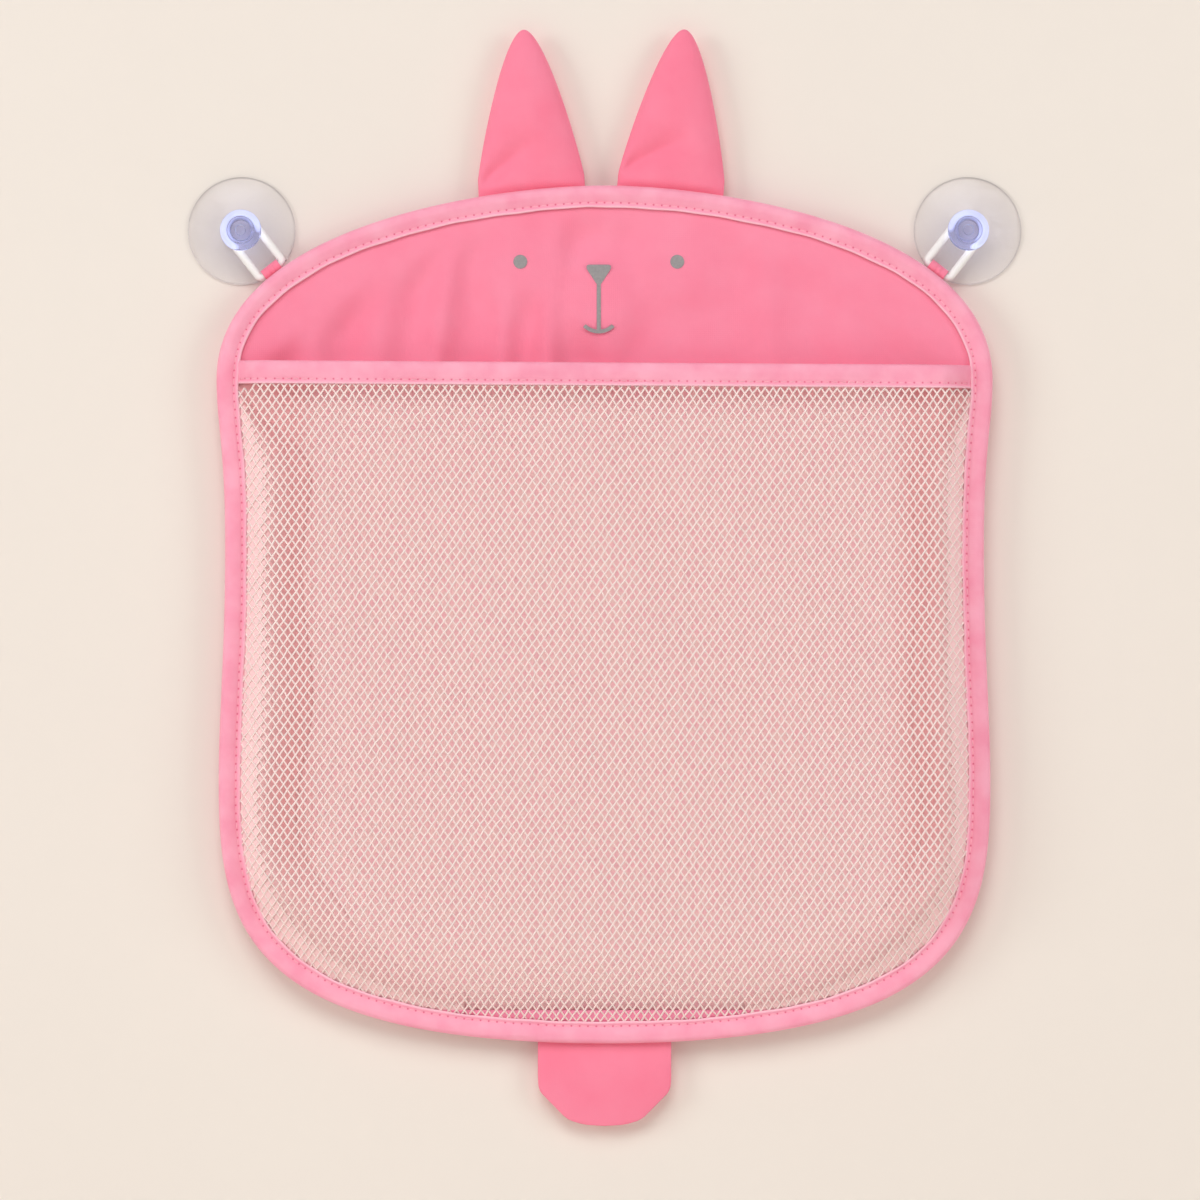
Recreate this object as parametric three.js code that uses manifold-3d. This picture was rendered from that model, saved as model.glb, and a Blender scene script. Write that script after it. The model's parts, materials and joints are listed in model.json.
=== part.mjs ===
// Hanging bath toy organizer: a bunny-shaped cloth bag with a net pocket, two padded ears and a tail,
// hung on two suction cups by plastic rings.
// Millimetres, +Z up. The wall is the plane y = 0 and the bag faces -Y. "Depth" is the distance from the wall.
// The origin lies on the wall, midway between the centres of the two suction cups.
import * as THREE from 'three';
import { mergeGeometries, mergeVertices } from 'three/addons/utils/BufferGeometryUtils.js';
import Module from 'manifold-3d';

const wasm = await Module();
wasm.setup();

// Clearances
const GAP = 0.3; // between neighbouring layers and pieces
const RING_PLAY = 0.6; // along the cup's neck, on each side of the ring

// Cloths, tapes and net: thicknesses
const PANEL = 1;
const LINING = 0.4;
const NET = 0.8;
const BINDING_TAPE = 0.8;
const HEM_TAPE = 0.6;
const TAB_TAPE = 0.6;
const SEAM = 1.3; // a root of an ear or of the tail, sewn flat behind the binding
const EAR_CLOTH = 0.5;
const TAIL_CLOTH = 0.6;
const PRINT = 0.25;

// Bag outline, measured from the shoulder line, where the bag is widest
const SHOULDER_HALF = 161.7;
const CROWN_RISE = 80.8;
const WAIST_HALF = 158.1;
const WAIST_DROP = 70.5;
const HIP_HALF = 160.8;
const HIP_DROP = 168.5;
const BASE_DROP = 276.7;
// How far each curve of the outline keeps its first and last direction, as shares of its own spans
const CROWN_EASE = [0.284, 0.798];
const SIDE_EASE = [0.278, 0.619];
const FLANK_EASE = [0.434, 0.3];
const BASE_EASE = [0.526, 0.955];
const OUTLINE_STEPS = 80;
const BISECTIONS = 48; // to find a place on the outline

// Binding: a tape folded over the bag's whole edge
const BINDING_WIDTH = 9.2;
const BINDING_FOLD = 2.2; // how far the rounded fold runs in from the edge
const FOLD_STEPS = 6;

// Pocket
const MOUTH_RISE = 6.8; // top of the hem above the shoulder line
const HEM_HEIGHT = 9.6;
const MOUTH_DEPTH = 10.5; // how far the net stands forward at the mouth
const BELLY_DEPTH = 19; // and at the foot of its flat front
const SIDE_RUN = 14; // width of the drawn-in sides, seen from the front
const BASE_RUN = 36; // height of the drawn-in base, seen from the front
const BASE_TURN = 0.1; // downward share of the edge's direction where the sides begin to widen into the base
const GUSSET_STEPS = 48;
const GUSSET_ROWS = 4;
const HEM_START = 0.08; // share of the side's width where the hem begins
const HEM_STEPS = 4;
const NET_FLANGE = 7.8; // width of the net's edge that lies inside the binding
const NET_CELL_WIDTH = 22;
const NET_CELL_HEIGHT = 32;
const NET_STRAND = 2.2;
const NET_RIM = 3;
const NET_OVERCUT = 0.8; // how far the gaps' cutters stand out of the net
const LINING_INSET = 3; // from the binding's inner edge
const LINING_LIFT = 4.1; // straight lower edge above the binding's inner edge

// Ears: two padded cloth teardrops on flat roots that are sewn behind the binding
const EARS_OFF_CENTRE = -1.45;
const EAR_SPREAD = 28.9;
const EAR_LEAN = { left: THREE.MathUtils.degToRad(2.9), right: THREE.MathUtils.degToRad(5.1) };
const EAR_HALF = 22.3;
const EAR_HEIGHT = 66.9;
const EAR_SHOULDER = [19.5, 17]; // the sides draw in from here
const EAR_TIP_EASE = 8;
const EAR_CROWN = 5; // swell of each face
const EAR_FULLNESS = 2.4; // how far the swell keeps its height towards the seam
const EAR_HINGE_RISE = 5; // fold line above the bag's edge
const EAR_THINNING = 9; // height above the fold line where the swell is full
const EAR_CENTRE = 0.47; // share of its height where it is fullest
const EAR_STEPS = 12;
const EAR_ROWS = 5;
const WADDING_SHARE = 0.86; // of the ear's outline
const WADDING_EDGE = 0.5; // half its thickness at its own edge
const WADDING_FULLNESS = 4;
const ROOT_TUCK = 8; // how far a root reaches behind the binding
const ROOT_PLAY = 0.05; // from a fold line to the swinging piece

// Tail: a flat flap of two cloths
const TAIL_HALF = 27.8;
const TAIL_DROP = 34.6;
const TAIL_ROUND = 19.8; // height of its rounded end
const TAIL_HINGE_DROP = 4;
const TAIL_STEPS = 20;

// Hangers: a cloth tab, a moulded ring and a suction cup on each shoulder
const TAB_LEAN = THREE.MathUtils.degToRad(37.8); // the ring's pull from upright
const TAB_TUCK = 8;
const LOOP_SINK = 0.7; // how far the tab's loop sinks behind the binding's round fold
const RING_WIRE = 3.2;
const RING_SPACING = 12; // between the centres of the two runs
const RING_REACH = 20.9; // from the neck's centre to the bar's centre
const RING_CORNER = 1.8;
const RING_SIDES = 10;
const ARCH_STEPS = 12;
const CORNER_STEPS = 4;
const CUP_RADIUS = 22.5;
const CUP_LIP = 3.6; // width of the flat lip
const CUP_RIM = 0.9;
const CUP_DOME = 5.5; // height where the neck begins
const CUP_HOLLOW = 2;
const CUP_SWELL = [14, 3.2]; // radius and height that the dome's curve leans towards
const CUP_HUB_RADIUS = 7.5;
const CUP_HUB_HEIGHT = 4.4;
const HEAD_RADIUS = 8.6;
const HEAD_THICKNESS = 5;
const HEAD_ROUND = 1.8;
const HEAD_STEP_RADIUS = 5.6;
const HEAD_STEP = 0.6;
const DIMPLE_RADIUS = 2.2;
const DIMPLE_DEPTH = 2;
const TAB_STEPS = 10;
const CUP_STEPS = 32;
const CUP_CURVE_STEPS = 3;

// Printed face
const FACE_OFF_CENTRE = -2.4;
const EYE_RADIUS = 2.9;
const EYE_SPREAD = 32.7;
const EYE_RISE = 49;
const EYE_STEPS = 12;
const NOSE_WIDTH = 11.7;
const NOSE_HEIGHT = 8.6;
const NOSE_RISE = 47.8; // top of the nose
const NOSE_ROUND = 2.2; // reach of its upper corners
const NOSE_SLANT = 1.1; // how far the corners draw in below
const NOSE_TIP = [1.3, 1.1, -0.9]; // half width and height where the tip's curve begins, height of its pull
const STEM_WIDTH = 1.7;
const MOUTH_DIP = 20.7; // lowest point of the smile above the shoulder line
const SMILE_WIDTH = 12;
const SMILE_SAG = 2.5;
const SMILE_STROKE = 1.6;
const SMILE_STEPS = 8;

// Depths that follow from the stack of layers
const RING_DEPTH = CUP_DOME + RING_PLAY + RING_WIRE / 2;
const BINDING_BACK = RING_DEPTH + SEAM / 2 + GAP;
const PANEL_BACK = BINDING_BACK + BINDING_TAPE + GAP;
const PANEL_FRONT = PANEL_BACK + PANEL;
const NET_BACK = PANEL_FRONT + GAP;
const BINDING_FRONT = NET_BACK + NET + GAP + BINDING_TAPE;

const NET_TOP = MOUTH_RISE - HEM_TAPE - GAP;
const NET_FOOT = -(BASE_DROP - BINDING_WIDTH - BASE_RUN);
const GUSSET_FOOT = BINDING_WIDTH + 2 * GAP;

const colours = {
  cloth: { color: 0xfc889d, roughness: 0.85 },
  ear: { color: 0xfc859c, roughness: 0.85 },
  wadding: { color: 0xf4f1ec, roughness: 1 },
  lining: { color: 0xe6b4b2, roughness: 0.9 },
  net: { color: 0xfde0d6, roughness: 0.8 },
  tape: { color: 0xfba9bd, roughness: 0.8 },
  ring: { color: 0xf3f0ee, roughness: 0.35 },
  cup: { color: 0xe2dfe6, roughness: 0.12 },
  print: { color: 0x979494, roughness: 0.7 },
};

const WELD = 1e-4; // points closer than this are one point

// Small helpers

function vector(x, depth, z) {
  return new THREE.Vector3(x, -depth, z);
}

function signedVolume(geometry) {
  const index = geometry.index;
  const position = geometry.attributes.position;
  const corners = [new THREE.Vector3(), new THREE.Vector3(), new THREE.Vector3()];
  let volume = 0;
  for (let i = 0; i < index.count; i += 3) {
    corners.forEach((corner, k) => corner.fromBufferAttribute(position, index.getX(i + k)));
    volume += corners[0].dot(corners[1].clone().cross(corners[2])) / 6;
  }
  return volume;
}

// A closed body from points and triangles, with its faces turned outwards.
function body(points, faces) {
  const geometry = new THREE.BufferGeometry();
  geometry.setAttribute('position', new THREE.Float32BufferAttribute(points.flatMap((p) => p.toArray()), 3));
  geometry.setIndex(faces);
  if (signedVolume(geometry) < 0) {
    geometry.index.array.reverse();
  }
  return geometry;
}

function welded(geometry) {
  const bare = geometry.clone();
  bare.deleteAttribute('normal');
  bare.deleteAttribute('uv');
  return mergeVertices(bare, WELD);
}

function toSolid(geometry) {
  const closed = welded(geometry);
  const mesh = new wasm.Mesh({
    numProp: 3,
    vertProperties: new Float32Array(closed.attributes.position.array),
    triVerts: new Uint32Array(closed.index.array),
  });
  return new wasm.Manifold(mesh);
}

function toGeometry(solid) {
  const mesh = solid.getMesh();
  const geometry = new THREE.BufferGeometry();
  geometry.setAttribute('position', new THREE.BufferAttribute(mesh.vertProperties, 3));
  geometry.setIndex(new THREE.BufferAttribute(mesh.triVerts, 1));
  return geometry;
}

// Carries a section along frames. Each frame has a point and the two directions of its section's plane.
function sweep(frames, sectionAt, closed) {
  const sections = frames.map((frame, i) => sectionAt(frame, i));
  const count = sections[0].length;
  const points = frames.flatMap(({ at, u, v }, i) =>
    sections[i].map((p) => at.clone().addScaledVector(u, p.x).addScaledVector(v, p.y)));
  const faces = [];
  const spans = closed ? frames.length : frames.length - 1;
  for (let i = 0; i < spans; i += 1) {
    const here = i * count;
    const next = ((i + 1) % frames.length) * count;
    for (let j = 0; j < count; j += 1) {
      const k = (j + 1) % count;
      faces.push(here + j, here + k, next + k, here + j, next + k, next + j);
    }
  }
  if (!closed) {
    const end = (frames.length - 1) * count;
    THREE.ShapeUtils.triangulateShape(sections[0], []).forEach(([a, b, c]) => {
      faces.push(a, c, b, end + a, end + b, end + c);
    });
  }
  return body(points, faces);
}

function counterClockwise(section) {
  return THREE.ShapeUtils.isClockWise(section) ? section.slice().reverse() : section;
}

// A flat sheet in the bag's plane: the shape is drawn in x and z, its back lies at the given depth.
function sheet(shape, depth, thickness, curveSegments = 1) {
  const geometry = new THREE.ExtrudeGeometry(shape, { depth: thickness, bevelEnabled: false, curveSegments });
  geometry.rotateX(Math.PI / 2);
  geometry.translate(0, -depth, 0);
  return geometry;
}

// A crowned body between two faces. Their depths depend on the share of the way from its centre to its edge,
// and on the place in the bag's plane.
function cushion(edge, centre, rows, faceDepth, backDepth) {
  const count = edge.length;
  const points = [];
  [faceDepth, backDepth].forEach((depthAt) => {
    points.push(vector(centre.x, depthAt(0, centre), centre.y));
    for (let r = 1; r <= rows; r += 1) {
      const share = Math.sin((r / rows) * Math.PI / 2);
      edge.forEach((p) => {
        const at = centre.clone().lerp(p, share);
        points.push(vector(at.x, depthAt(share, at), at.y));
      });
    }
  });
  const faces = [];
  const back = 1 + rows * count;
  for (let j = 0; j < count; j += 1) {
    const k = (j + 1) % count;
    faces.push(0, 1 + j, 1 + k, back, back + 1 + k, back + 1 + j);
    for (let r = 0; r < rows - 1; r += 1) {
      const a = 1 + r * count;
      const b = a + count;
      faces.push(a + j, b + j, b + k, a + j, b + k, a + k);
      faces.push(back + a + j, back + b + k, back + b + j, back + a + j, back + a + k, back + b + k);
    }
    const rim = 1 + (rows - 1) * count;
    faces.push(rim + j, back + rim + j, back + rim + k, rim + j, back + rim + k, rim + k);
  }
  return body(points, faces);
}

function piece(name, geometry, finish) {
  const mesh = new THREE.Mesh(geometry, new THREE.MeshStandardMaterial({ metalness: 0, ...colours[finish] }));
  mesh.name = name;
  return mesh;
}

// Bag outline

function quarter(start, startEase, end, endEase) {
  return new THREE.CubicBezierCurve(start, start.clone().add(startEase), end.clone().add(endEase), end);
}

function mirrored(curve) {
  const flip = (p) => new THREE.Vector2(-p.x, p.y);
  return new THREE.CubicBezierCurve(flip(curve.v3), flip(curve.v2), flip(curve.v1), flip(curve.v0));
}

function makeOutline() {
  const along = (x, z) => new THREE.Vector2(x, z);
  const crown = along(0, CROWN_RISE);
  const shoulder = along(SHOULDER_HALF, 0);
  const waist = along(WAIST_HALF, -WAIST_DROP);
  const hip = along(HIP_HALF, -HIP_DROP);
  const base = along(0, -BASE_DROP);
  const flank = HIP_DROP - WAIST_DROP;
  const bottom = BASE_DROP - HIP_DROP;
  const half = [
    quarter(crown, along(SHOULDER_HALF * CROWN_EASE[0], 0), shoulder, along(0, CROWN_RISE * CROWN_EASE[1])),
    quarter(shoulder, along(0, -WAIST_DROP * SIDE_EASE[0]), waist, along(0, WAIST_DROP * SIDE_EASE[1])),
    quarter(waist, along(0, -flank * FLANK_EASE[0]), hip, along(0, flank * FLANK_EASE[1])),
    quarter(hip, along(0, -bottom * BASE_EASE[0]), base, along(HIP_HALF * BASE_EASE[1], 0)),
  ];
  const path = new THREE.CurvePath();
  half.forEach((curve) => path.add(curve));
  half.slice().reverse().forEach((curve) => path.add(mirrored(curve)));
  return path;
}

const outline = makeOutline();

// A place on the outline: 0 at the top of the crown, then clockwise as seen from the front.
function edgeAt(share) {
  const at = outline.getPoint(share);
  const along = outline.getTangent(share);
  return { at, out: new THREE.Vector2(-along.y, along.x) };
}

function inset(share, distance) {
  const { at, out } = edgeAt(share);
  return at.clone().addScaledVector(out, -distance);
}

// The share on the right half where a measure of the outline that falls steadily reaches a value.
function shareWhere(measure, value, last = 0.5) {
  let low = 0;
  let high = last;
  for (let i = 0; i < BISECTIONS; i += 1) {
    const middle = (low + high) / 2;
    if (measure(edgeAt(middle)) > value) {
      low = middle;
    } else {
      high = middle;
    }
  }
  return low;
}

function insetShape(distance) {
  const points = [];
  for (let i = 0; i < OUTLINE_STEPS; i += 1) {
    points.push(inset(i / OUTLINE_STEPS, distance));
  }
  return points;
}

// Panel, lining and binding

function backPanel() {
  return sheet(new THREE.Shape(insetShape(BINDING_TAPE + GAP)), PANEL_BACK, PANEL);
}

function pocketLining() {
  const floor = -(BASE_DROP - BINDING_WIDTH - LINING_LIFT);
  const edge = insetShape(BINDING_WIDTH + LINING_INSET);
  const points = edge.map((p) => new THREE.Vector2(p.x, THREE.MathUtils.clamp(p.y, floor, MOUTH_RISE)));
  const clean = points.filter((p, i) => {
    const before = points[(i + points.length - 1) % points.length];
    const after = points[(i + 1) % points.length];
    return before.y !== p.y || after.y !== p.y;
  });
  return sheet(new THREE.Shape(clean), NET_BACK, LINING);
}

function edgeBinding() {
  const half = (BINDING_FRONT - BINDING_BACK) / 2;
  const middle = BINDING_BACK + half;
  const section = [new THREE.Vector2(BINDING_WIDTH, BINDING_FRONT)];
  for (let i = 0; i <= FOLD_STEPS; i += 1) {
    const turn = Math.PI / 2 + (Math.PI * i) / FOLD_STEPS;
    const run = BINDING_FOLD * (1 + Math.cos(turn));
    section.push(new THREE.Vector2(run, middle + half * Math.sin(turn)));
  }
  section.push(
    new THREE.Vector2(BINDING_WIDTH, BINDING_BACK),
    new THREE.Vector2(BINDING_WIDTH, BINDING_BACK + BINDING_TAPE),
    new THREE.Vector2(BINDING_TAPE, BINDING_BACK + BINDING_TAPE),
    new THREE.Vector2(BINDING_TAPE, BINDING_FRONT - BINDING_TAPE),
    new THREE.Vector2(BINDING_WIDTH, BINDING_FRONT - BINDING_TAPE),
  );
  const frames = [];
  for (let i = 0; i < OUTLINE_STEPS; i += 1) {
    const { at, out } = edgeAt(i / OUTLINE_STEPS);
    frames.push({ at: vector(at.x, 0, at.y), u: vector(-out.x, 0, -out.y), v: vector(0, 1, 0) });
  }
  return sweep(frames, () => section, true);
}

// Net pocket: a flat front that leans outwards towards its foot, and drawn-in sides and base

const POCKET_START = shareWhere((edge) => edge.at.y, NET_TOP);

function netDepth(z) {
  const fall = (NET_TOP - z) / (NET_TOP - NET_FOOT);
  return THREE.MathUtils.lerp(MOUTH_DEPTH, BELLY_DEPTH, fall);
}

function gussetRun(out) {
  return THREE.MathUtils.lerp(SIDE_RUN, BASE_RUN, THREE.MathUtils.smoothstep(-out.y, BASE_TURN, 1));
}

function pocketShares(steps) {
  const span = 1 - 2 * POCKET_START;
  return Array.from({ length: steps + 1 }, (_, i) => POCKET_START + (span * i) / steps);
}

function pocketGusset() {
  const frames = pocketShares(GUSSET_STEPS).map((share) => {
    const { at, out } = edgeAt(share);
    return { at: vector(at.x, 0, at.y), u: vector(-out.x, 0, -out.y), v: vector(0, 1, 0), out, edge: at };
  });
  const section = ({ out, edge }) => {
    const run = gussetRun(out);
    const depth = netDepth(edge.y - out.y * (GUSSET_FOOT + run));
    const back = [new THREE.Vector2(BINDING_WIDTH - NET_FLANGE, NET_BACK)];
    for (let r = 0; r <= GUSSET_ROWS; r += 1) {
      const share = r / GUSSET_ROWS;
      const rise = Math.sin((share * Math.PI) / 2) * depth;
      back.push(new THREE.Vector2(GUSSET_FOOT + run * share, NET_BACK + rise));
    }
    const front = back.map((p) => new THREE.Vector2(p.x, p.y + NET)).reverse();
    return counterClockwise([...back, ...front]);
  };
  return sweep(frames, section, false);
}

// The part of an open outline that lies below a height, with its ends on that height where it rises past it.
function below(points, top) {
  const first = points.findIndex((p) => p.y < top);
  const last = points.findLastIndex((p) => p.y < top);
  const crossing = (low, high) => low.clone().lerp(high, (top - low.y) / (high.y - low.y));
  const start = points.slice(Math.max(first - 1, 0), first).map((p) => crossing(points[first], p));
  const end = points.slice(last + 1, last + 2).map((p) => crossing(points[last], p));
  return [...start, ...points.slice(first, last + 1), ...end];
}

// The outline of the pocket's flat front, drawn in by a further distance.
function frontShape(further, top) {
  const points = pocketShares(GUSSET_STEPS).map((share) => {
    const { out } = edgeAt(share);
    return inset(share, GUSSET_FOOT + gussetRun(out) + further);
  });
  return below(points, top);
}

function within(point, polygon) {
  let inside = false;
  polygon.forEach((a, i) => {
    const b = polygon[(i + 1) % polygon.length];
    const crosses = (a.y > point.y) !== (b.y > point.y);
    if (crosses && point.x < ((b.x - a.x) * (point.y - a.y)) / (b.y - a.y) + a.x) {
      inside = !inside;
    }
  });
  return inside;
}

// The front net: diamond gaps in two staggered sets, cut only where their centres lie inside the rim.
function pocketNet() {
  const cloth = sheet(new THREE.Shape(frontShape(GAP, NET_TOP)), 0, NET);
  const rim = frontShape(GAP + NET_RIM, NET_TOP - HEM_HEIGHT);
  const room = sheet(new THREE.Shape(rim), -NET_OVERCUT, NET + 2 * NET_OVERCUT);
  const halfWidth = (NET_CELL_WIDTH - NET_STRAND * Math.hypot(1, NET_CELL_WIDTH / NET_CELL_HEIGHT)) / 2;
  const halfHeight = (halfWidth * NET_CELL_HEIGHT) / NET_CELL_WIDTH;
  const columns = Math.ceil(SHOULDER_HALF / NET_CELL_WIDTH);
  const rows = Math.ceil((2 * BASE_DROP) / NET_CELL_HEIGHT);
  const gaps = [];
  for (let row = 0; row < rows; row += 1) {
    const z = NET_TOP - HEM_HEIGHT - (row * NET_CELL_HEIGHT) / 2;
    for (let column = -columns; column <= columns; column += 1) {
      const x = (column + (row % 2) / 2) * NET_CELL_WIDTH;
      if (within(new THREE.Vector2(x, z), rim)) {
        const diamond = new THREE.Shape([
          new THREE.Vector2(x - halfWidth, z),
          new THREE.Vector2(x, z - halfHeight),
          new THREE.Vector2(x + halfWidth, z),
          new THREE.Vector2(x, z + halfHeight),
        ]);
        gaps.push(welded(sheet(diamond, -2 * NET_OVERCUT, NET + 4 * NET_OVERCUT)));
      }
    }
  }
  const cuts = toSolid(mergeGeometries(gaps)).intersect(toSolid(room));
  const net = toGeometry(toSolid(cloth).subtract(cuts));
  const position = net.attributes.position;
  for (let i = 0; i < position.count; i += 1) {
    position.setY(i, position.getY(i) - NET_BACK - netDepth(position.getZ(i)));
  }
  return net;
}

// Hem: a tape folded over the net's top edge, from one side of the binding to the other
function pocketHem() {
  const { at, out } = edgeAt(POCKET_START);
  const lean = netDepth(NET_TOP - 1) - netDepth(NET_TOP);
  const route = [];
  for (let i = 0; i <= HEM_STEPS; i += 1) {
    const share = THREE.MathUtils.lerp(1, HEM_START, i / HEM_STEPS);
    const rise = Math.sin((share * Math.PI) / 2);
    const x = at.x - out.x * (GUSSET_FOOT + SIDE_RUN * share);
    const place = { depth: NET_BACK + NET / 2 + rise * MOUTH_DEPTH, lean: rise * lean };
    route.push({ x, ...place });
    route.unshift({ x: -x, ...place });
  }
  const frames = route.map((p, i) => {
    const before = route[Math.max(i - 1, 0)];
    const after = route[Math.min(i + 1, route.length - 1)];
    const along = new THREE.Vector2(after.x - before.x, after.depth - before.depth).normalize();
    return {
      at: vector(p.x, p.depth, NET_TOP),
      u: vector(-along.y, along.x, 0),
      v: vector(0, -p.lean, 1),
    };
  });
  const outer = NET / 2 + GAP + HEM_TAPE;
  const inner = NET / 2 + GAP;
  const top = MOUTH_RISE - NET_TOP;
  const foot = top - HEM_HEIGHT;
  const section = counterClockwise([
    new THREE.Vector2(-outer, foot),
    new THREE.Vector2(-inner, foot),
    new THREE.Vector2(-inner, GAP),
    new THREE.Vector2(inner, GAP),
    new THREE.Vector2(inner, foot),
    new THREE.Vector2(outer, foot),
    new THREE.Vector2(outer, top),
    new THREE.Vector2(-outer, top),
  ]);
  return sweep(frames, () => section, false);
}

// Ears

// The free ear's outline in its own frame: from the fold line up one side, over the tip and down the other.
function earEdge() {
  const tip = new THREE.Vector2(0, EAR_HEIGHT);
  const side = (sign) => new THREE.CubicBezierCurve(
    new THREE.Vector2(sign * EAR_HALF, EAR_HINGE_RISE + ROOT_PLAY),
    new THREE.Vector2(sign * EAR_SHOULDER[0], EAR_HINGE_RISE + EAR_SHOULDER[1]),
    new THREE.Vector2(sign * EAR_TIP_EASE, EAR_HEIGHT),
    tip,
  );
  const right = side(1).getSpacedPoints(EAR_STEPS);
  const left = side(-1).getSpacedPoints(EAR_STEPS).reverse().slice(1);
  return [...right, ...left];
}

function earRoot() {
  const top = EAR_HINGE_RISE - ROOT_PLAY - EAR_CLOTH - GAP / 2;
  const shape = new THREE.Shape([
    new THREE.Vector2(-EAR_HALF, -ROOT_TUCK),
    new THREE.Vector2(EAR_HALF, -ROOT_TUCK),
    new THREE.Vector2(EAR_HALF, top),
    new THREE.Vector2(-EAR_HALF, top),
  ]);
  return sheet(shape, RING_DEPTH - SEAM / 2, SEAM);
}

function addEar(bag, side, sign) {
  const x = sign * EAR_SPREAD + EARS_OFF_CENTRE;
  const share = shareWhere((edge) => -edge.at.x, -Math.abs(x), 0.25);
  const ear = new THREE.Group();
  ear.position.set(x, 0, edgeAt(share).at.y);
  ear.rotation.y = sign * EAR_LEAN[side];
  const edge = earEdge();
  const centre = new THREE.Vector2(0, (EAR_HINGE_RISE + EAR_HEIGHT) * EAR_CENTRE);
  const swell = (share, at) => {
    const rise = THREE.MathUtils.smoothstep(at.y, EAR_HINGE_RISE, EAR_HINGE_RISE + EAR_THINNING);
    return EAR_CROWN * rise * Math.sqrt(1 - share ** EAR_FULLNESS);
  };
  const seam = RING_DEPTH;
  const front = cushion(edge, centre, EAR_ROWS,
    (s, at) => seam + GAP / 2 + EAR_CLOTH + swell(s, at), (s, at) => seam + GAP / 2 + swell(s, at));
  const back = cushion(edge, centre, EAR_ROWS,
    (s, at) => seam - GAP / 2 - swell(s, at), (s, at) => seam - GAP / 2 - EAR_CLOTH - swell(s, at));
  const core = edge.map((p) => centre.clone().lerp(p, WADDING_SHARE));
  const filling = (s, at) =>
    THREE.MathUtils.lerp(swell(s * WADDING_SHARE, at) - GAP, WADDING_EDGE, s ** WADDING_FULLNESS);
  const wadding = cushion(core, centre, EAR_ROWS,
    (s, at) => seam + filling(s, at), (s, at) => seam - filling(s, at));
  ear.add(
    piece(`ear_${side}_front`, front, 'ear'),
    piece(`ear_${side}_back`, back, 'ear'),
    piece(`ear_${side}_wadding`, wadding, 'wadding'),
    piece(`ear_${side}_root`, earRoot(), 'ear'),
  );
  bag.add(ear);
}

// Tail

function tailShape() {
  const straight = -(TAIL_DROP - TAIL_ROUND);
  const shape = new THREE.Shape();
  shape.moveTo(TAIL_HALF, -TAIL_HINGE_DROP - ROOT_PLAY);
  shape.lineTo(-TAIL_HALF, -TAIL_HINGE_DROP - ROOT_PLAY);
  shape.lineTo(-TAIL_HALF, straight);
  shape.absellipse(0, straight, TAIL_HALF, TAIL_ROUND, Math.PI, 2 * Math.PI, false);
  return shape;
}

function addTail(bag) {
  const tail = new THREE.Group();
  tail.position.set(0, 0, -BASE_DROP);
  const foot = -TAIL_HINGE_DROP + ROOT_PLAY + TAIL_CLOTH + GAP / 2;
  const root = new THREE.Shape([
    new THREE.Vector2(-TAIL_HALF, foot),
    new THREE.Vector2(TAIL_HALF, foot),
    new THREE.Vector2(TAIL_HALF, ROOT_TUCK),
    new THREE.Vector2(-TAIL_HALF, ROOT_TUCK),
  ]);
  tail.add(
    piece('tail_front', sheet(tailShape(), RING_DEPTH + GAP / 2, TAIL_CLOTH, TAIL_STEPS), 'ear'),
    piece('tail_back', sheet(tailShape(), RING_DEPTH - GAP / 2 - TAIL_CLOTH, TAIL_CLOTH, TAIL_STEPS), 'ear'),
    piece('tail_root', sheet(root, RING_DEPTH - SEAM / 2, SEAM), 'ear'),
  );
  bag.add(tail);
}

// Hangers, in a frame whose +Z leads from the binding's edge to the cup

const LOOP_INNER = RING_WIRE / 2 + GAP;
const LOOP_OUTER = LOOP_INNER + TAB_TAPE;
const BAR_AT = LOOP_OUTER - LOOP_SINK;
const NECK_AT = BAR_AT + RING_REACH;
const RING_INNER_HALF = (RING_SPACING - RING_WIRE) / 2;
const TAB_WIDTH = 2 * (RING_INNER_HALF - GAP);
const NECK_RADIUS = RING_INNER_HALF - GAP;

// The tab's section: a loop round the ring's bar, and its two ends sewn together behind the binding.
function tab() {
  const half = SEAM / 2;
  const turn = Math.asin(half / LOOP_OUTER);
  const shape = new THREE.Shape();
  shape.moveTo(-half, -TAB_TUCK);
  shape.lineTo(half, -TAB_TUCK);
  shape.absarc(0, BAR_AT, LOOP_OUTER, -Math.PI / 2 + turn, 1.5 * Math.PI - turn, false);
  const eye = new THREE.Path();
  eye.absarc(0, BAR_AT, LOOP_INNER, 0, 2 * Math.PI, true);
  shape.holes.push(eye);
  const geometry = new THREE.ExtrudeGeometry(shape, {
    depth: TAB_WIDTH,
    bevelEnabled: false,
    curveSegments: TAB_STEPS,
  });
  const turned = new THREE.Matrix4().makeBasis(vector(0, 1, 0), vector(0, 0, 1), vector(-1, 0, 0));
  geometry.applyMatrix4(turned);
  geometry.translate(TAB_WIDTH / 2, -RING_DEPTH, 0);
  return geometry;
}

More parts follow.
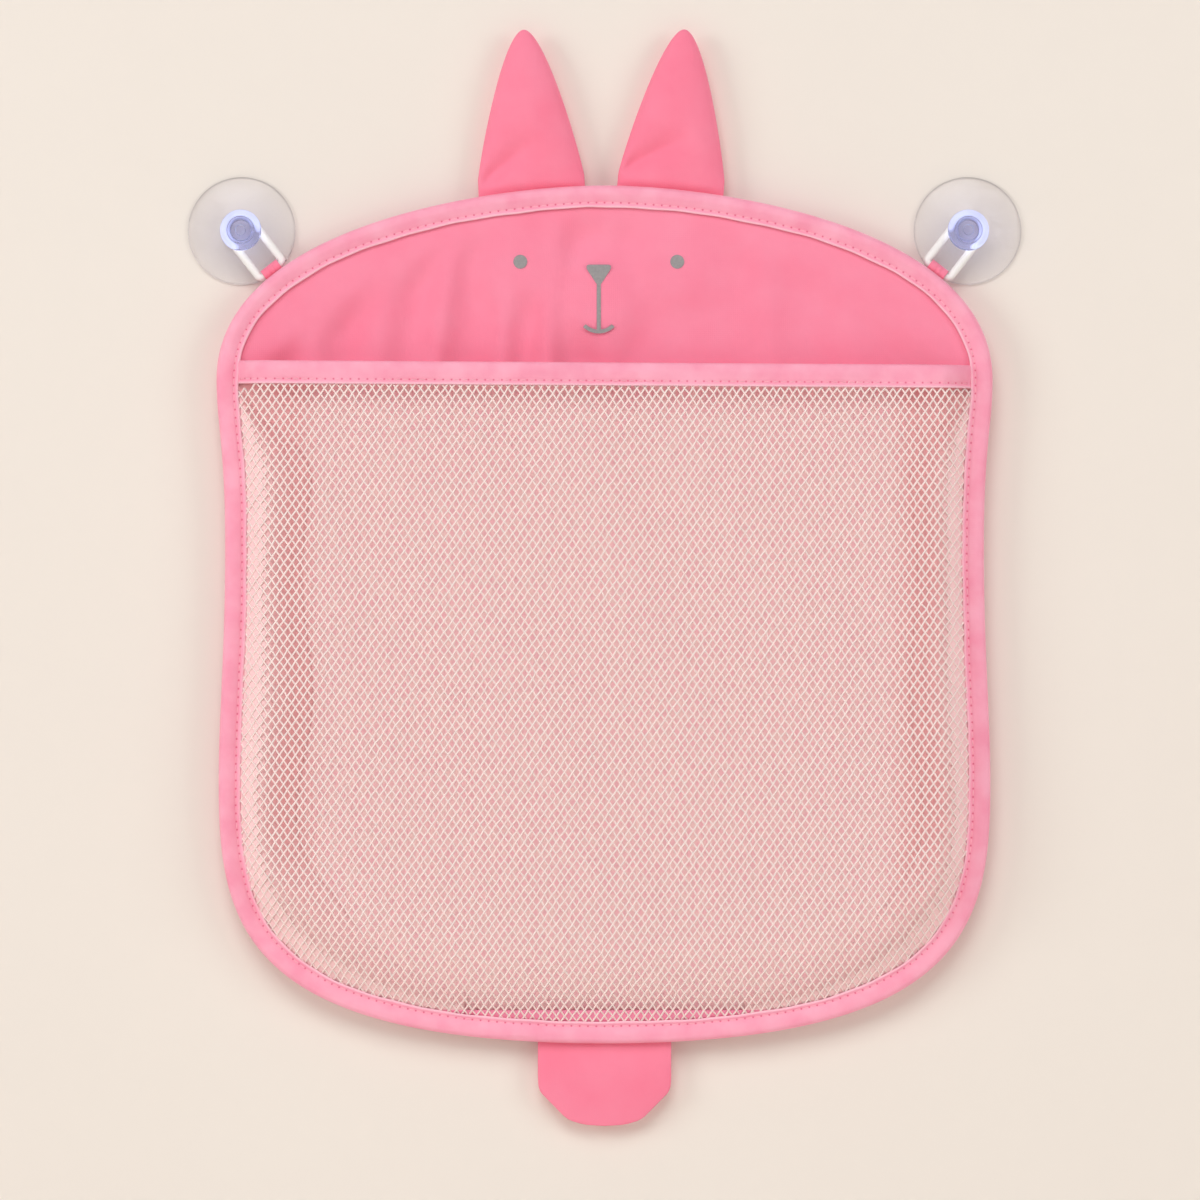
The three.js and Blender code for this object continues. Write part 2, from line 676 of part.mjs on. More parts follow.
// The ring's centre line: an arch over the cup's neck, two runs and a bar with round corners.
function ring() {
  const half = RING_SPACING / 2;
  const line = [];
  const arc = (x, z, radius, from, to, steps) => {
    for (let i = 0; i <= steps; i += 1) {
      const turn = from + ((to - from) * i) / steps;
      const out = new THREE.Vector2(Math.cos(turn), Math.sin(turn));
      line.push({ x: x + radius * out.x, z: z + radius * out.y, out });
    }
  };
  const corner = half - RING_CORNER;
  arc(0, NECK_AT, half, 0, Math.PI, ARCH_STEPS);
  arc(-corner, BAR_AT + RING_CORNER, RING_CORNER, Math.PI, 1.5 * Math.PI, CORNER_STEPS);
  arc(corner, BAR_AT + RING_CORNER, RING_CORNER, 1.5 * Math.PI, 2 * Math.PI, CORNER_STEPS);
  const section = Array.from({ length: RING_SIDES }, (_, i) => {
    const turn = (2 * Math.PI * i) / RING_SIDES;
    return new THREE.Vector2(Math.cos(turn), Math.sin(turn)).multiplyScalar(RING_WIRE / 2);
  });
  const frames = line.map(({ x, z, out }) => ({
    at: vector(x, RING_DEPTH, z),
    u: vector(out.x, 0, out.y),
    v: vector(0, 1, 0),
  }));
  return sweep(frames, () => section, true);
}

// The suction cup turned about its neck: flat lip, hollow, dome, neck and mushroom head with a dimple.
function cup() {
  const under = RING_DEPTH + RING_WIRE / 2 + RING_PLAY;
  const top = under + HEAD_THICKNESS;
  const profile = new THREE.Path();
  profile.moveTo(0, CUP_HOLLOW);
  profile.quadraticCurveTo(CUP_HUB_RADIUS, CUP_HOLLOW, CUP_RADIUS - CUP_LIP, 0);
  profile.lineTo(CUP_RADIUS, 0);
  profile.lineTo(CUP_RADIUS, CUP_RIM);
  profile.quadraticCurveTo(...CUP_SWELL, CUP_HUB_RADIUS, CUP_HUB_HEIGHT);
  profile.quadraticCurveTo(NECK_RADIUS, CUP_HUB_HEIGHT, NECK_RADIUS, CUP_DOME);
  profile.lineTo(NECK_RADIUS, under);
  profile.lineTo(HEAD_RADIUS - HEAD_ROUND, under);
  profile.quadraticCurveTo(HEAD_RADIUS, under, HEAD_RADIUS, under + HEAD_ROUND);
  profile.quadraticCurveTo(HEAD_RADIUS, top - HEAD_STEP, HEAD_STEP_RADIUS, top - HEAD_STEP);
  profile.lineTo(HEAD_STEP_RADIUS, top);
  profile.lineTo(DIMPLE_RADIUS, top);
  profile.lineTo(DIMPLE_RADIUS, top - DIMPLE_DEPTH);
  profile.lineTo(0, top - DIMPLE_DEPTH);
  const turned = new THREE.LatheGeometry(profile.getPoints(CUP_CURVE_STEPS), CUP_STEPS);
  turned.rotateX(Math.PI);
  return toGeometry(toSolid(turned));
}

const TAB_SITE = edgeAt(shareWhere((edge) => edge.out.y, Math.cos(TAB_LEAN), 0.25)).at;

function addHanger(bag, side, sign) {
  const hanger = new THREE.Group();
  hanger.position.set(sign * TAB_SITE.x, 0, TAB_SITE.y);
  hanger.rotation.y = sign * TAB_LEAN;
  const suction = piece(`suction_cup_${side}`, cup(), 'cup');
  suction.position.set(0, 0, NECK_AT);
  hanger.add(piece(`tab_${side}`, tab(), 'ear'), piece(`ring_${side}`, ring(), 'ring'), suction);
  bag.add(hanger);
}

// Printed face

function eye(sign) {
  const shape = new THREE.Shape();
  shape.absarc(FACE_OFF_CENTRE + sign * EYE_SPREAD, EYE_RISE, EYE_RADIUS, 0, 2 * Math.PI, false);
  return sheet(shape, PANEL_FRONT, PRINT, EYE_STEPS);
}

// A triangle that points down, with round corners, joined by a stem to a smile.
function noseAndMouth() {
  const x = FACE_OFF_CENTRE;
  const half = NOSE_WIDTH / 2;
  const foot = NOSE_RISE - NOSE_HEIGHT;
  const nose = new THREE.Shape();
  nose.moveTo(x - half + NOSE_ROUND, NOSE_RISE);
  nose.lineTo(x + half - NOSE_ROUND, NOSE_RISE);
  nose.quadraticCurveTo(x + half, NOSE_RISE, x + half - NOSE_SLANT, NOSE_RISE - NOSE_ROUND);
  nose.lineTo(x + NOSE_TIP[0], foot + NOSE_TIP[1]);
  nose.quadraticCurveTo(x, foot + NOSE_TIP[2], x - NOSE_TIP[0], foot + NOSE_TIP[1]);
  nose.lineTo(x - half + NOSE_SLANT, NOSE_RISE - NOSE_ROUND);
  nose.quadraticCurveTo(x - half, NOSE_RISE, x - half + NOSE_ROUND, NOSE_RISE);
  const stem = new THREE.Shape([
    new THREE.Vector2(x - STEM_WIDTH / 2, MOUTH_DIP),
    new THREE.Vector2(x + STEM_WIDTH / 2, MOUTH_DIP),
    new THREE.Vector2(x + STEM_WIDTH / 2, foot + NOSE_HEIGHT / 2),
    new THREE.Vector2(x - STEM_WIDTH / 2, foot + NOSE_HEIGHT / 2),
  ]);
  const radius = (SMILE_WIDTH ** 2 / 4 + SMILE_SAG ** 2) / (2 * SMILE_SAG);
  const turn = Math.asin(SMILE_WIDTH / 2 / radius);
  const centre = MOUTH_DIP - SMILE_STROKE / 2 + radius;
  const smile = new THREE.Shape();
  smile.absarc(x, centre, radius + SMILE_STROKE / 2, -Math.PI / 2 - turn, -Math.PI / 2 + turn, false);
  smile.absarc(x, centre, radius - SMILE_STROKE / 2, -Math.PI / 2 + turn, -Math.PI / 2 - turn, true);
  const films = [nose, stem, smile].map((shape) => toSolid(sheet(shape, PANEL_FRONT, PRINT, SMILE_STEPS)));
  return toGeometry(films[0].add(films[1]).add(films[2]));
}

// The whole bag, with the cups' centres brought to the height of the origin

const bag = new THREE.Group();
bag.add(
  piece('back_panel', backPanel(), 'cloth'),
  piece('pocket_lining', pocketLining(), 'lining'),
  piece('edge_binding', edgeBinding(), 'tape'),
  piece('pocket_net_front', pocketNet(), 'net'),
  piece('pocket_net_sides', pocketGusset(), 'net'),
  piece('pocket_hem', pocketHem(), 'tape'),
  piece('print_eye_left', eye(-1), 'print'),
  piece('print_eye_right', eye(1), 'print'),
  piece('print_nose_mouth', noseAndMouth(), 'print'),
);
addTail(bag);
[['left', -1], ['right', 1]].forEach(([side, sign]) => {
  addEar(bag, side, sign);
  addHanger(bag, side, sign);
});
bag.position.z = -(TAB_SITE.y + NECK_AT * Math.cos(TAB_LEAN));

const organizer = new THREE.Group();
organizer.add(bag);

export default organizer;
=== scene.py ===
# %% [markdown]
# # A bath toy organizer, dressed
# The real object is a cloth bag in the shape of a bunny. Tape binds its edge, a net pocket covers its
# belly, and two clear suction cups hold it on a bathroom wall. The CAD model gives the size and place of
# every piece, so it is loaded first and stays fixed. Every soft piece is then made again here as thin
# cloth, tape, yarn or padding.

import json
import math

import bmesh
import bpy
import numpy as np
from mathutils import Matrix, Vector


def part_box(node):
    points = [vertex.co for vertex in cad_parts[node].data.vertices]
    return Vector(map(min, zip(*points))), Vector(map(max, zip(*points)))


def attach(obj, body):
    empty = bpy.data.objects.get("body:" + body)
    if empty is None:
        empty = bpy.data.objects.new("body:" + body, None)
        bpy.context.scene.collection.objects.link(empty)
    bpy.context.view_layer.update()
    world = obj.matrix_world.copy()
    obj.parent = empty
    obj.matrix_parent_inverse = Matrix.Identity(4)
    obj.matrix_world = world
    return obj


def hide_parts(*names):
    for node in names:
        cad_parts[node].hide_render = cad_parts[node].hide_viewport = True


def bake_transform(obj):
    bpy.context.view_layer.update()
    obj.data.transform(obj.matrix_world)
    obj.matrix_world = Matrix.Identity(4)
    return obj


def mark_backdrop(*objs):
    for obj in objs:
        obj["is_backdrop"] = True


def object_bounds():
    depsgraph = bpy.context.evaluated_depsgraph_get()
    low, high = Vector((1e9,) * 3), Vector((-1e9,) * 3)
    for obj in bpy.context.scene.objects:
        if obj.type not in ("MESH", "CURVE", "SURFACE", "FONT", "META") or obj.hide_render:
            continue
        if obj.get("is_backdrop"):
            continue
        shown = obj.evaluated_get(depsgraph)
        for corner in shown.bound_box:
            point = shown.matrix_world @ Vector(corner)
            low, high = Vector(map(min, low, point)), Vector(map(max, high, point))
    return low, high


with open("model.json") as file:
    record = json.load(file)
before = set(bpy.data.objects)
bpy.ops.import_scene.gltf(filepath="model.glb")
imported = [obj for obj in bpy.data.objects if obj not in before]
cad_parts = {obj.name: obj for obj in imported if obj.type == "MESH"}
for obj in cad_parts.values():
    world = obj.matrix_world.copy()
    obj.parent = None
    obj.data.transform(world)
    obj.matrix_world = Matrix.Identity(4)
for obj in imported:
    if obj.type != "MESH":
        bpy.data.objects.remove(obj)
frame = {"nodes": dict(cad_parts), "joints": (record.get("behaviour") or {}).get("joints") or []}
cad_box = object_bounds()
MM = 0.001


def extent(node):
    """The lowest and highest x, depth and height of a CAD node in millimetres. Depth runs from the wall to
    the viewer."""
    low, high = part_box(node)
    return (low.x / MM, high.x / MM), (-high.y / MM, -low.y / MM), (low.z / MM, high.z / MM)


_, (BINDING_BACK, BINDING_FRONT), (_, CROWN_Z) = extent("edge_binding")
print(f"binding from {BINDING_BACK:.2f} to {BINDING_FRONT:.2f} mm off the wall, crown at {CROWN_Z:.2f} mm")

# %% [markdown]
# ## Grids become meshes
# Cloth can be modelled by hand, but a formula is easier to change. Each piece here is a grid of points
# worked out as whole numpy arrays, with one quad between four neighbours. Rows run upwards and columns to
# the right, which makes the faces look at the viewer. A second grid of lengths becomes the UV map, so
# that a weave can follow the cloth.

# %% Mesh helpers


def place(x, depth, z):
    """Points in metres from x, depth off the wall and height z in millimetres: (x, -depth, z) / 1000."""
    return np.stack(np.broadcast_arrays(x, -np.asarray(depth), z), axis=-1) * MM


def add_mesh(name, points, faces, finish):
    """A smooth-shaded mesh object at the origin, with its place in its points."""
    mesh = bpy.data.meshes.new(name)
    mesh.from_pydata(points.reshape(-1, 3).tolist(), [], faces.tolist())
    mesh.polygons.foreach_set("use_smooth", np.ones(len(mesh.polygons), bool))
    mesh.materials.append(finish)
    piece = bpy.data.objects.new(name, mesh)
    bpy.context.scene.collection.objects.link(piece)
    return piece


def skin(name, points, finish, around=False, looped=False, uv=None):
    """Quads over a grid of points (rows, columns, 3). around joins the last column to the first, looped the
    last row to the first row. uv = (length at each column, length at each row) in metres, one more where
    the grid closes."""
    rows, columns = points.shape[:2]
    row, column = np.meshgrid(
        np.arange(rows if looped else rows - 1), np.arange(columns if around else columns - 1), indexing="ij"
    )
    row = np.stack([row, row, row + 1, row + 1], axis=-1).reshape(-1, 4)
    column = np.stack([column, column + 1, column + 1, column], axis=-1).reshape(-1, 4)
    piece = add_mesh(name, points, row % rows * columns + column % columns, finish)
    if uv is not None:
        layer = piece.data.uv_layers.new(name="cloth")
        spread = np.stack([uv[0][column], uv[1][row]], axis=-1)
        layer.data.foreach_set("uv", spread.ravel().astype(np.float32))
    return piece


def close_up(piece):
    """Merges points that fall together at a pole or a seam, then turns the faces outwards."""
    shell = bmesh.new()
    shell.from_mesh(piece.data)
    bmesh.ops.remove_doubles(shell, verts=shell.verts, dist=0.002 * MM)
    bmesh.ops.recalc_face_normals(shell, faces=shell.faces)
    shell.to_mesh(piece.data)
    shell.free()
    return piece


def thicken(piece, thickness, offset=-1):
    """Gives a sheet its thickness in millimetres: on the side away from its faces, or on both where offset
    is 0."""
    wall = piece.modifiers.new("thickness", "SOLIDIFY")
    wall.thickness = thickness * MM
    wall.offset = offset


def report(piece):
    """Prints a piece's triangles before modifiers."""
    piece.data.calc_loop_triangles()
    print(f"{piece.name}: {len(piece.data.loop_triangles)} triangles")
    return piece


def lengths(across, up):
    """The length run at each point of a line: 0, then the sum of the steps so far."""
    return np.append(0, np.cumsum(np.hypot(np.diff(across), np.diff(up))))


# %% [markdown]
# ## Colour and nodes
# Colours are written as the sRGB hex values that an eye sees on screen, but shaders work in linear light.
# One function turns the first into the second. A second one adds a shader node with its settings and
# links, so that each material below reads as a short list.

# %% Material helpers


def linear(code):
    """An sRGB hex colour as linear RGBA: c / 12.92 below 0.04045, else ((c + 0.055) / 1.055) ** 2.4."""
    srgb = np.array([int(code[i:i + 2], 16) for i in (1, 3, 5)]) / 255
    light = np.where(srgb <= 0.04045, srgb / 12.92, ((srgb + 0.055) / 1.055) ** 2.4)
    return (*light.tolist(), 1.0)


def add_node(tree, kind, inputs=None, **settings):
    """Adds a node. inputs maps a socket to a value, or to the output that feeds it."""
    node = tree.nodes.new(kind)
    for name, value in settings.items():
        setattr(node, name, value)
    for socket, value in (inputs or {}).items():
        if isinstance(value, bpy.types.NodeSocket):
            tree.links.new(value, node.inputs[socket])
        else:
            node.inputs[socket].default_value = value
    return node


def new_finish(name, **constants):
    """A material with its node tree and its Principled shader. constants are set on the shader's own
    sockets."""
    finish = bpy.data.materials.new(name)
    finish.use_nodes = True
    shader = finish.node_tree.nodes["Principled BSDF"]
    for socket, value in constants.items():
        shader.inputs[socket.replace("_", " ")].default_value = value
    return finish, finish.node_tree, shader


def wave_scale(spacing):
    """The wave texture's scale for bands that repeat every spacing millimetres: at scale 1 they repeat every
    2 pi / 20 units."""
    return 2 * math.pi / 20 / (spacing * MM)


def mottled(tree, size, colours, span=(0.0, 1.0), detail=2.0):
    """A colour that drifts between two, by noise with spots of a size in millimetres. Gives the texture
    coordinates, the noise and the colour."""
    spot = add_node(tree, "ShaderNodeTexCoord")
    noise = add_node(tree, "ShaderNodeTexNoise",
                     {"Vector": spot.outputs["Object"], "Scale": 1 / (size * MM), "Detail": detail})
    ramp = add_node(tree, "ShaderNodeValToRGB", {0: noise.outputs[0]})
    for element, position, colour in zip(ramp.color_ramp.elements, span, colours):
        element.position, element.color = position, linear(colour)
    return spot, noise.outputs[0], ramp.outputs[0]


# %% [markdown]
# ## Camera, wall and light
# The photograph looks straight at the wall from some way off: both cups are round and nothing converges.
# A long lens some four metres away gives that view. Its shadow is wide and pale, lies on both sides of
# the bag and is darkest below it, so there is one main lamp in front and above, with a lamp at each side
# and some light from all round. A fourth lamp, behind, lights the back. A colour then renders about as it
# is written. The wall shows only from its front, so the back can be looked at too.

# %% Camera
PHOTO_WIDTH = 500.0  # millimetres of wall across the photograph
VIEW_CENTRE = (-1.9, -154.1)  # x and z in millimetres at the middle of the photograph
FOCUS_DEPTH = 11.0
LENS = 300.0
SENSOR = 36.0
camera = bpy.data.objects.new("camera", bpy.data.cameras.new("camera"))
camera.data.lens = LENS
camera.data.sensor_width = SENSOR
camera_depth = FOCUS_DEPTH + PHOTO_WIDTH * LENS / SENSOR
camera.location = Vector((VIEW_CENTRE[0], -camera_depth, VIEW_CENTRE[1])) * MM
camera.rotation_euler = (math.pi / 2, 0, 0)
bpy.context.scene.collection.objects.link(camera)
bpy.context.scene.camera = camera
bpy.context.scene.view_settings.view_transform = "Standard"
print(f"camera {camera_depth / 1000:.3f} m from the wall")

# %% Lights


def soft_light(name, position, size, power):
    """A round lamp at a position in metres, turned towards the middle of the bag."""
    lamp = bpy.data.lights.new(name, "AREA")
    lamp.shape = "DISK"
    lamp.size = size
    lamp.energy = power
    lamp_object = bpy.data.objects.new(name, lamp)
    lamp_object.location = position
    aim = Vector((0, 0, VIEW_CENTRE[1] * MM)) - Vector(position)
    lamp_object.rotation_euler = aim.to_track_quat("-Z", "Y").to_euler()
    bpy.context.scene.collection.objects.link(lamp_object)


soft_light("main_light", (-0.35, -3.0, 1.9), 2.2, 50.5)
soft_light("left_light", (-3.0, -2.0, 0.6), 1.6, 33.0)
soft_light("right_light", (2.6, -2.1, 0.5), 1.6, 19.5)
soft_light("back_light", (0.9, 2.4, 1.0), 1.8, 16.0)

world = bpy.data.worlds.new("studio")
bpy.context.scene.world = world
world.use_nodes = True
sky = world.node_tree
sky_path = add_node(sky, "ShaderNodeLightPath")
seen = add_node(sky, "ShaderNodeMath",
                {0: sky_path.outputs["Is Camera Ray"], 1: sky_path.outputs["Is Glossy Ray"]},
                operation="MAXIMUM")
seen = add_node(sky, "ShaderNodeMath", {0: seen.outputs[0], 1: sky_path.outputs["Is Transmission Ray"]},
                operation="MAXIMUM")
glow = add_node(sky, "ShaderNodeBackground", {"Color": linear("#FBFCFF"), "Strength": 0.26})
pale = add_node(sky, "ShaderNodeBackground", {"Color": linear("#F1EAE1"), "Strength": 1.0})
sky_mix = add_node(sky, "ShaderNodeMixShader", {0: seen.outputs[0], 1: glow.outputs[0], 2: pale.outputs[0]})
sky.links.new(sky_mix.outputs[0], sky.nodes["World Output"].inputs[0])

# %% Wall and floor
# Matt emulsion on plaster, rolled on: an even warm white with a barely seen cloudiness.
emulsion, tree, shader = new_finish("emulsion_paint_rolled", Roughness=0.95, Specular_IOR_Level=0.2)
_, _, paint = mottled(tree, 180, ("#F0E7DE", "#F2EAE1"))
tree.links.new(paint, shader.inputs["Base Color"])
facing = add_node(tree, "ShaderNodeNewGeometry")
light_path = add_node(tree, "ShaderNodeLightPath")
unseen = add_node(tree, "ShaderNodeMath",
                  {0: facing.outputs["Backfacing"], 1: light_path.outputs["Is Shadow Ray"]},
                  operation="MAXIMUM")
clear = add_node(tree, "ShaderNodeBsdfTransparent")
one_sided = add_node(tree, "ShaderNodeMixShader",
                     {0: unseen.outputs[0], 1: shader.outputs[0], 2: clear.outputs[0]})
tree.links.new(one_sided.outputs[0], tree.nodes["Material Output"].inputs["Surface"])

plain_floor, _, _ = new_finish("plain_floor", Base_Color=linear("#EFE8DF"), Roughness=0.9)

WALL_HALF = 3000.0
WALL_GAP = 0.4  # behind the cups' lips
FLOOR_Z = -750.0
corners = np.array([-WALL_HALF, WALL_HALF])
wall = skin("wall", place(corners[None, :], -WALL_GAP, corners[:, None]), emulsion)
floor = skin("floor", place(corners[None, :], -corners[:, None], FLOOR_Z), plain_floor)
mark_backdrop(wall, floor)
print("stage: a wall, a floor, four soft lamps and a pale sky")

# %% [markdown]
# ## The bag's outline
# Everything on the bag follows its edge: the binding is carried along it, and the panel, lining and net
# fill it. The edge is four Bezier curves from the crown down the right side to the base, mirrored for the
# left. It is sampled by length, with a direction that points out of the bag, so that a piece can ask for
# any place along it.

# %% Edge of the bag
SHOULDER_HALF, CROWN_RISE = 161.7, 80.8
WAIST_HALF, WAIST_DROP = 158.1, 70.5
HIP_HALF, HIP_DROP = 160.8, 168.5
BASE_DROP = 276.7
CROWN_EASE, SIDE_EASE = (0.284, 0.798), (0.278, 0.619)
FLANK_EASE, BASE_EASE = (0.434, 0.3), (0.526, 0.955)
SHOULDER_Z = CROWN_Z - CROWN_RISE
BASE_Z = SHOULDER_Z - BASE_DROP


def bezier(points, share):
    """A cubic Bezier curve: the four points weighted by (1-t)^3, 3t(1-t)^2, 3t^2(1-t) and t^3."""
    t = np.asarray(share)[..., None]
    a, b, c, d = (np.array(p, float) for p in points)
    return a * (1 - t) ** 3 + 3 * b * t * (1 - t) ** 2 + 3 * c * t**2 * (1 - t) + d * t**3


def bag_edge():
    """The closed edge, clockwise from the crown as seen from the front, in millimetres."""
    flank, bottom = HIP_DROP - WAIST_DROP, BASE_DROP - HIP_DROP
    curves = [
        [(0, CROWN_RISE), (SHOULDER_HALF * CROWN_EASE[0], CROWN_RISE),
         (SHOULDER_HALF, CROWN_RISE * CROWN_EASE[1]), (SHOULDER_HALF, 0)],
        [(SHOULDER_HALF, 0), (SHOULDER_HALF, -WAIST_DROP * SIDE_EASE[0]),
         (WAIST_HALF, -WAIST_DROP * (1 - SIDE_EASE[1])), (WAIST_HALF, -WAIST_DROP)],
        [(WAIST_HALF, -WAIST_DROP), (WAIST_HALF, -WAIST_DROP - flank * FLANK_EASE[0]),
         (HIP_HALF, -HIP_DROP + flank * FLANK_EASE[1]), (HIP_HALF, -HIP_DROP)],
        [(HIP_HALF, -HIP_DROP), (HIP_HALF, -HIP_DROP - bottom * BASE_EASE[0]),
         (HIP_HALF * BASE_EASE[1], -BASE_DROP), (0, -BASE_DROP)],
    ]
    share = np.linspace(0, 1, 300)
    right = np.vstack([bezier(curve, share)[:-1] for curve in curves] + [[(0, -BASE_DROP)]])
    left = right[::-1][1:] * (-1, 1)
    return np.vstack([right, left]) + (0, SHOULDER_Z)


EDGE = bag_edge()
EDGE_LENGTH = lengths(*EDGE.T)
PERIMETER = EDGE_LENGTH[-1]
EDGE_ALONG = np.gradient(EDGE, EDGE_LENGTH, axis=0)
EDGE_OUT = np.stack([-EDGE_ALONG[:, 1], EDGE_ALONG[:, 0]], axis=1)


def edge_at(length, inset):
    """x and z of the place that lies inset millimetres inside the edge, at a length along it."""
    along = np.mod(length, PERIMETER)
    at = [np.interp(along, EDGE_LENGTH, EDGE[:, i]) for i in (0, 1)]
    out = [np.interp(along, EDGE_LENGTH, EDGE_OUT[:, i]) for i in (0, 1)]
    return at[0] - inset * out[0], at[1] - inset * out[1]


print(f"the edge is {PERIMETER:.0f} mm round")

# %% [markdown]
# ## Filling an outline
# A sheet with a round edge needs a grid that ends on that edge. One way is triangles, which shade
# unevenly. Here a square grid is bent into a disc, and each point is then pushed out to the outline's
# radius in its direction.

# %% Disc grid


def filled(loop, count):
    """x and z of a count by count grid inside a closed outline. A square (u, v) becomes a disc by
    x = u sqrt(1 - v^2 / 2) and y = v sqrt(1 - u^2 / 2), and its radius is scaled by the outline's."""
    line = np.linspace(-1, 1, count)
    v, u = np.meshgrid(line, line, indexing="ij")
    x, y = u * np.sqrt(1 - v**2 / 2), v * np.sqrt(1 - u**2 / 2)
    centre = (loop.min(axis=0) + loop.max(axis=0)) / 2
    arm = loop - centre
    reach = np.interp(np.arctan2(y, x), *sorted_by(np.arctan2(arm[:, 1], arm[:, 0]), np.hypot(*arm.T)),
                      period=2 * math.pi)
    return centre[0] + x * reach, centre[1] + y * reach


def sorted_by(key, value):
    """Two arrays in the order of the first."""
    order = np.argsort(key)
    return key[order], value[order]


# %% [markdown]
# ## Back panel
# One piece of pink woven cloth carries the face and closes the back of the pocket. It hangs a little
# slack between its seams, so soft upright puckers run down the forehead. A simulation would put them
# anywhere, so they are placed where the photograph shows them, as smooth ridges that fade out at the
# binding and round the printed face.

# %% Panel cloth
# Plain-woven polyester, dyed in the piece: matt, with a fine even thread and a faint cloudiness in the
# dye. The real thread spacing of about 0.3 mm is too fine to show, so the weave is drawn at 0.8 mm.
WEAVE, DYE_CLOUD = 0.8, 22.0


def woven_finish(name, colours, roughness, sheen):
    """A plain weave: two sets of bands, upright and level, added into a bump, over a cloudy dye."""
    finish, tree, shader = new_finish(name, Roughness=roughness, Specular_IOR_Level=0.25, Sheen_Weight=sheen,
                                      Sheen_Roughness=0.5)
    spot, _, dye = mottled(tree, DYE_CLOUD, colours, (0.3, 0.7), 4.0)
    tree.links.new(dye, shader.inputs["Base Color"])
    bands = [add_node(tree, "ShaderNodeTexWave",
                      {"Vector": spot.outputs["Object"], "Scale": wave_scale(WEAVE)},
                      bands_direction=axis).outputs["Fac"] for axis in ("X", "Z")]
    threads = add_node(tree, "ShaderNodeMath", {0: bands[0], 1: bands[1]}, operation="ADD")
    bump = add_node(tree, "ShaderNodeBump",
                    {"Height": threads.outputs[0], "Strength": 0.25, "Distance": 0.08 * MM})
    tree.links.new(bump.outputs[0], shader.inputs["Normal"])
    return finish


panel_cloth = woven_finish("polyester_panel_cloth_woven", ("#FC89A5", "#FD93AE"), 0.85, 0.1)

# %% Panel
PANEL_INSET = 1.1  # inside the binding's fold
PANEL_THICKNESS = 1.0
_, (_, PANEL_FRONT), _ = extent("back_panel")
HEM_TOP = extent("pocket_hem")[2][1]
# Each ridge: x in millimetres at the hem, lean to the middle at the crown, half width, height.
PUCKERS = ((-122, 10, 8, 4.1), (-96, 14, 9, 4.3), (-71, 12, 7, 5.1), (-43, 6, 6, 4.3), (-24, 4, 6, 5.1),
           (2, 0, 7, 2.2), (69, -3, 8, 2.0), (105, -10, 9, 1.5))
SLACK_LEFT, SLACK_RIGHT = 5.1, 2.0
SLACK_TURN = (-10, 50)  # the x between which the left one becomes the right one
EDGE_FADE, HEM_FADE = (8, 26), (60, 10)  # from the edge, and below the hem's top
FACE_CENTRES = ((-35, -13), (30, -13), (-2.4, -28))
FACE_CLEAR = (8.0, 28.0)


def smooth(value, low, high):
    """0 below low, 1 above high, and 3t^2 - 2t^3 between."""
    t = np.clip((value - low) / (high - low), 0, 1)
    return t * t * (3 - 2 * t)


def slack(x, z):
    """How far the panel falls back between its ridges, in millimetres: the most it falls back there less
    the ridges' bells, faded near the edge, below the hem and round each printed mark."""
    rise = (z - HEM_TOP) / (CROWN_Z - HEM_TOP)
    ridges = sum(height * np.exp(-(((x - at - lean * rise) / half) ** 2))
                 for at, lean, half, height in PUCKERS)
    most = SLACK_LEFT + (SLACK_RIGHT - SLACK_LEFT) * smooth(x, *SLACK_TURN)
    hollow = most - np.minimum(ridges, most)
    below_crown = (1 - (x / SHOULDER_HALF) ** 2) * CROWN_RISE - (z - SHOULDER_Z)
    edge_gap = np.minimum(below_crown, SHOULDER_HALF - np.abs(x))
    fade = smooth(edge_gap, *EDGE_FADE) * smooth(z, HEM_TOP - HEM_FADE[0], HEM_TOP - HEM_FADE[1])
    for centre in FACE_CENTRES:
        fade = fade * smooth(np.hypot(x - centre[0], z - centre[1]), *FACE_CLEAR)
    return hollow * fade


panel_loop = np.stack(edge_at(EDGE_LENGTH[:-1], PANEL_INSET), axis=1)
x, z = filled(panel_loop, 171)
panel = skin("back_panel_cloth", place(x, PANEL_FRONT - slack(x, z), z), panel_cloth)
thicken(panel, PANEL_THICKNESS)
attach(panel, "bag")
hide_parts("back_panel")
report(panel)

# %% [markdown]
# ## Pocket lining
# What shows through the net is paler and greyer than the face: a thin knitted lining lies on the panel
# there and ends in a straight line just above the bottom seam. It is the same kind of grid as the panel.
# Its knit is pink yarn on a beige ground, so the colour changes from stitch to stitch, which noise at the
# size of a stitch gives. Towards the sides its colour turns a deeper rose: painted shade, for the shade where
# the pocket's sides lie deep behind the net.

# %% Lining cloth
# Polyester tricot, warp-knitted in two colours: matt and mottled, with dusty rose and beige at about 3 mm.
MOTTLE = 3.0
SHADED_SIDES = (115.0, 131.0)  # from the middle: where the painted shade begins, and where it is full
SHADE_ROSE = "#F5BCBE"  # painted shade: the deeper rose at the pocket's sides
lining_cloth, tree, shader = new_finish("polyester_tricot_knitted", Roughness=0.9, Specular_IOR_Level=0.2)
spot, mottle, yarns = mottled(tree, MOTTLE, ("#FECDD4", "#FEDFDC"), (0.36, 0.64))
on_bag = add_node(tree, "ShaderNodeSeparateXYZ", {0: spot.outputs["Object"]})
aside = add_node(tree, "ShaderNodeMath", {0: on_bag.outputs["X"]}, operation="ABSOLUTE")
painted_shade_share = add_node(tree, "ShaderNodeMapRange", {"Value": aside.outputs[0], "From Min": SHADED_SIDES[0] * MM,
                                             "From Max": SHADED_SIDES[1] * MM}, interpolation_type="SMOOTHSTEP")
# painted shade: the lining's sides are mixed towards the deeper rose
shade_tinted = add_node(tree, "ShaderNodeMix", {0: painted_shade_share.outputs[0], 6: yarns, 7: linear(SHADE_ROSE)}, data_type="RGBA")
tree.links.new(shade_tinted.outputs[2], shader.inputs["Base Color"])
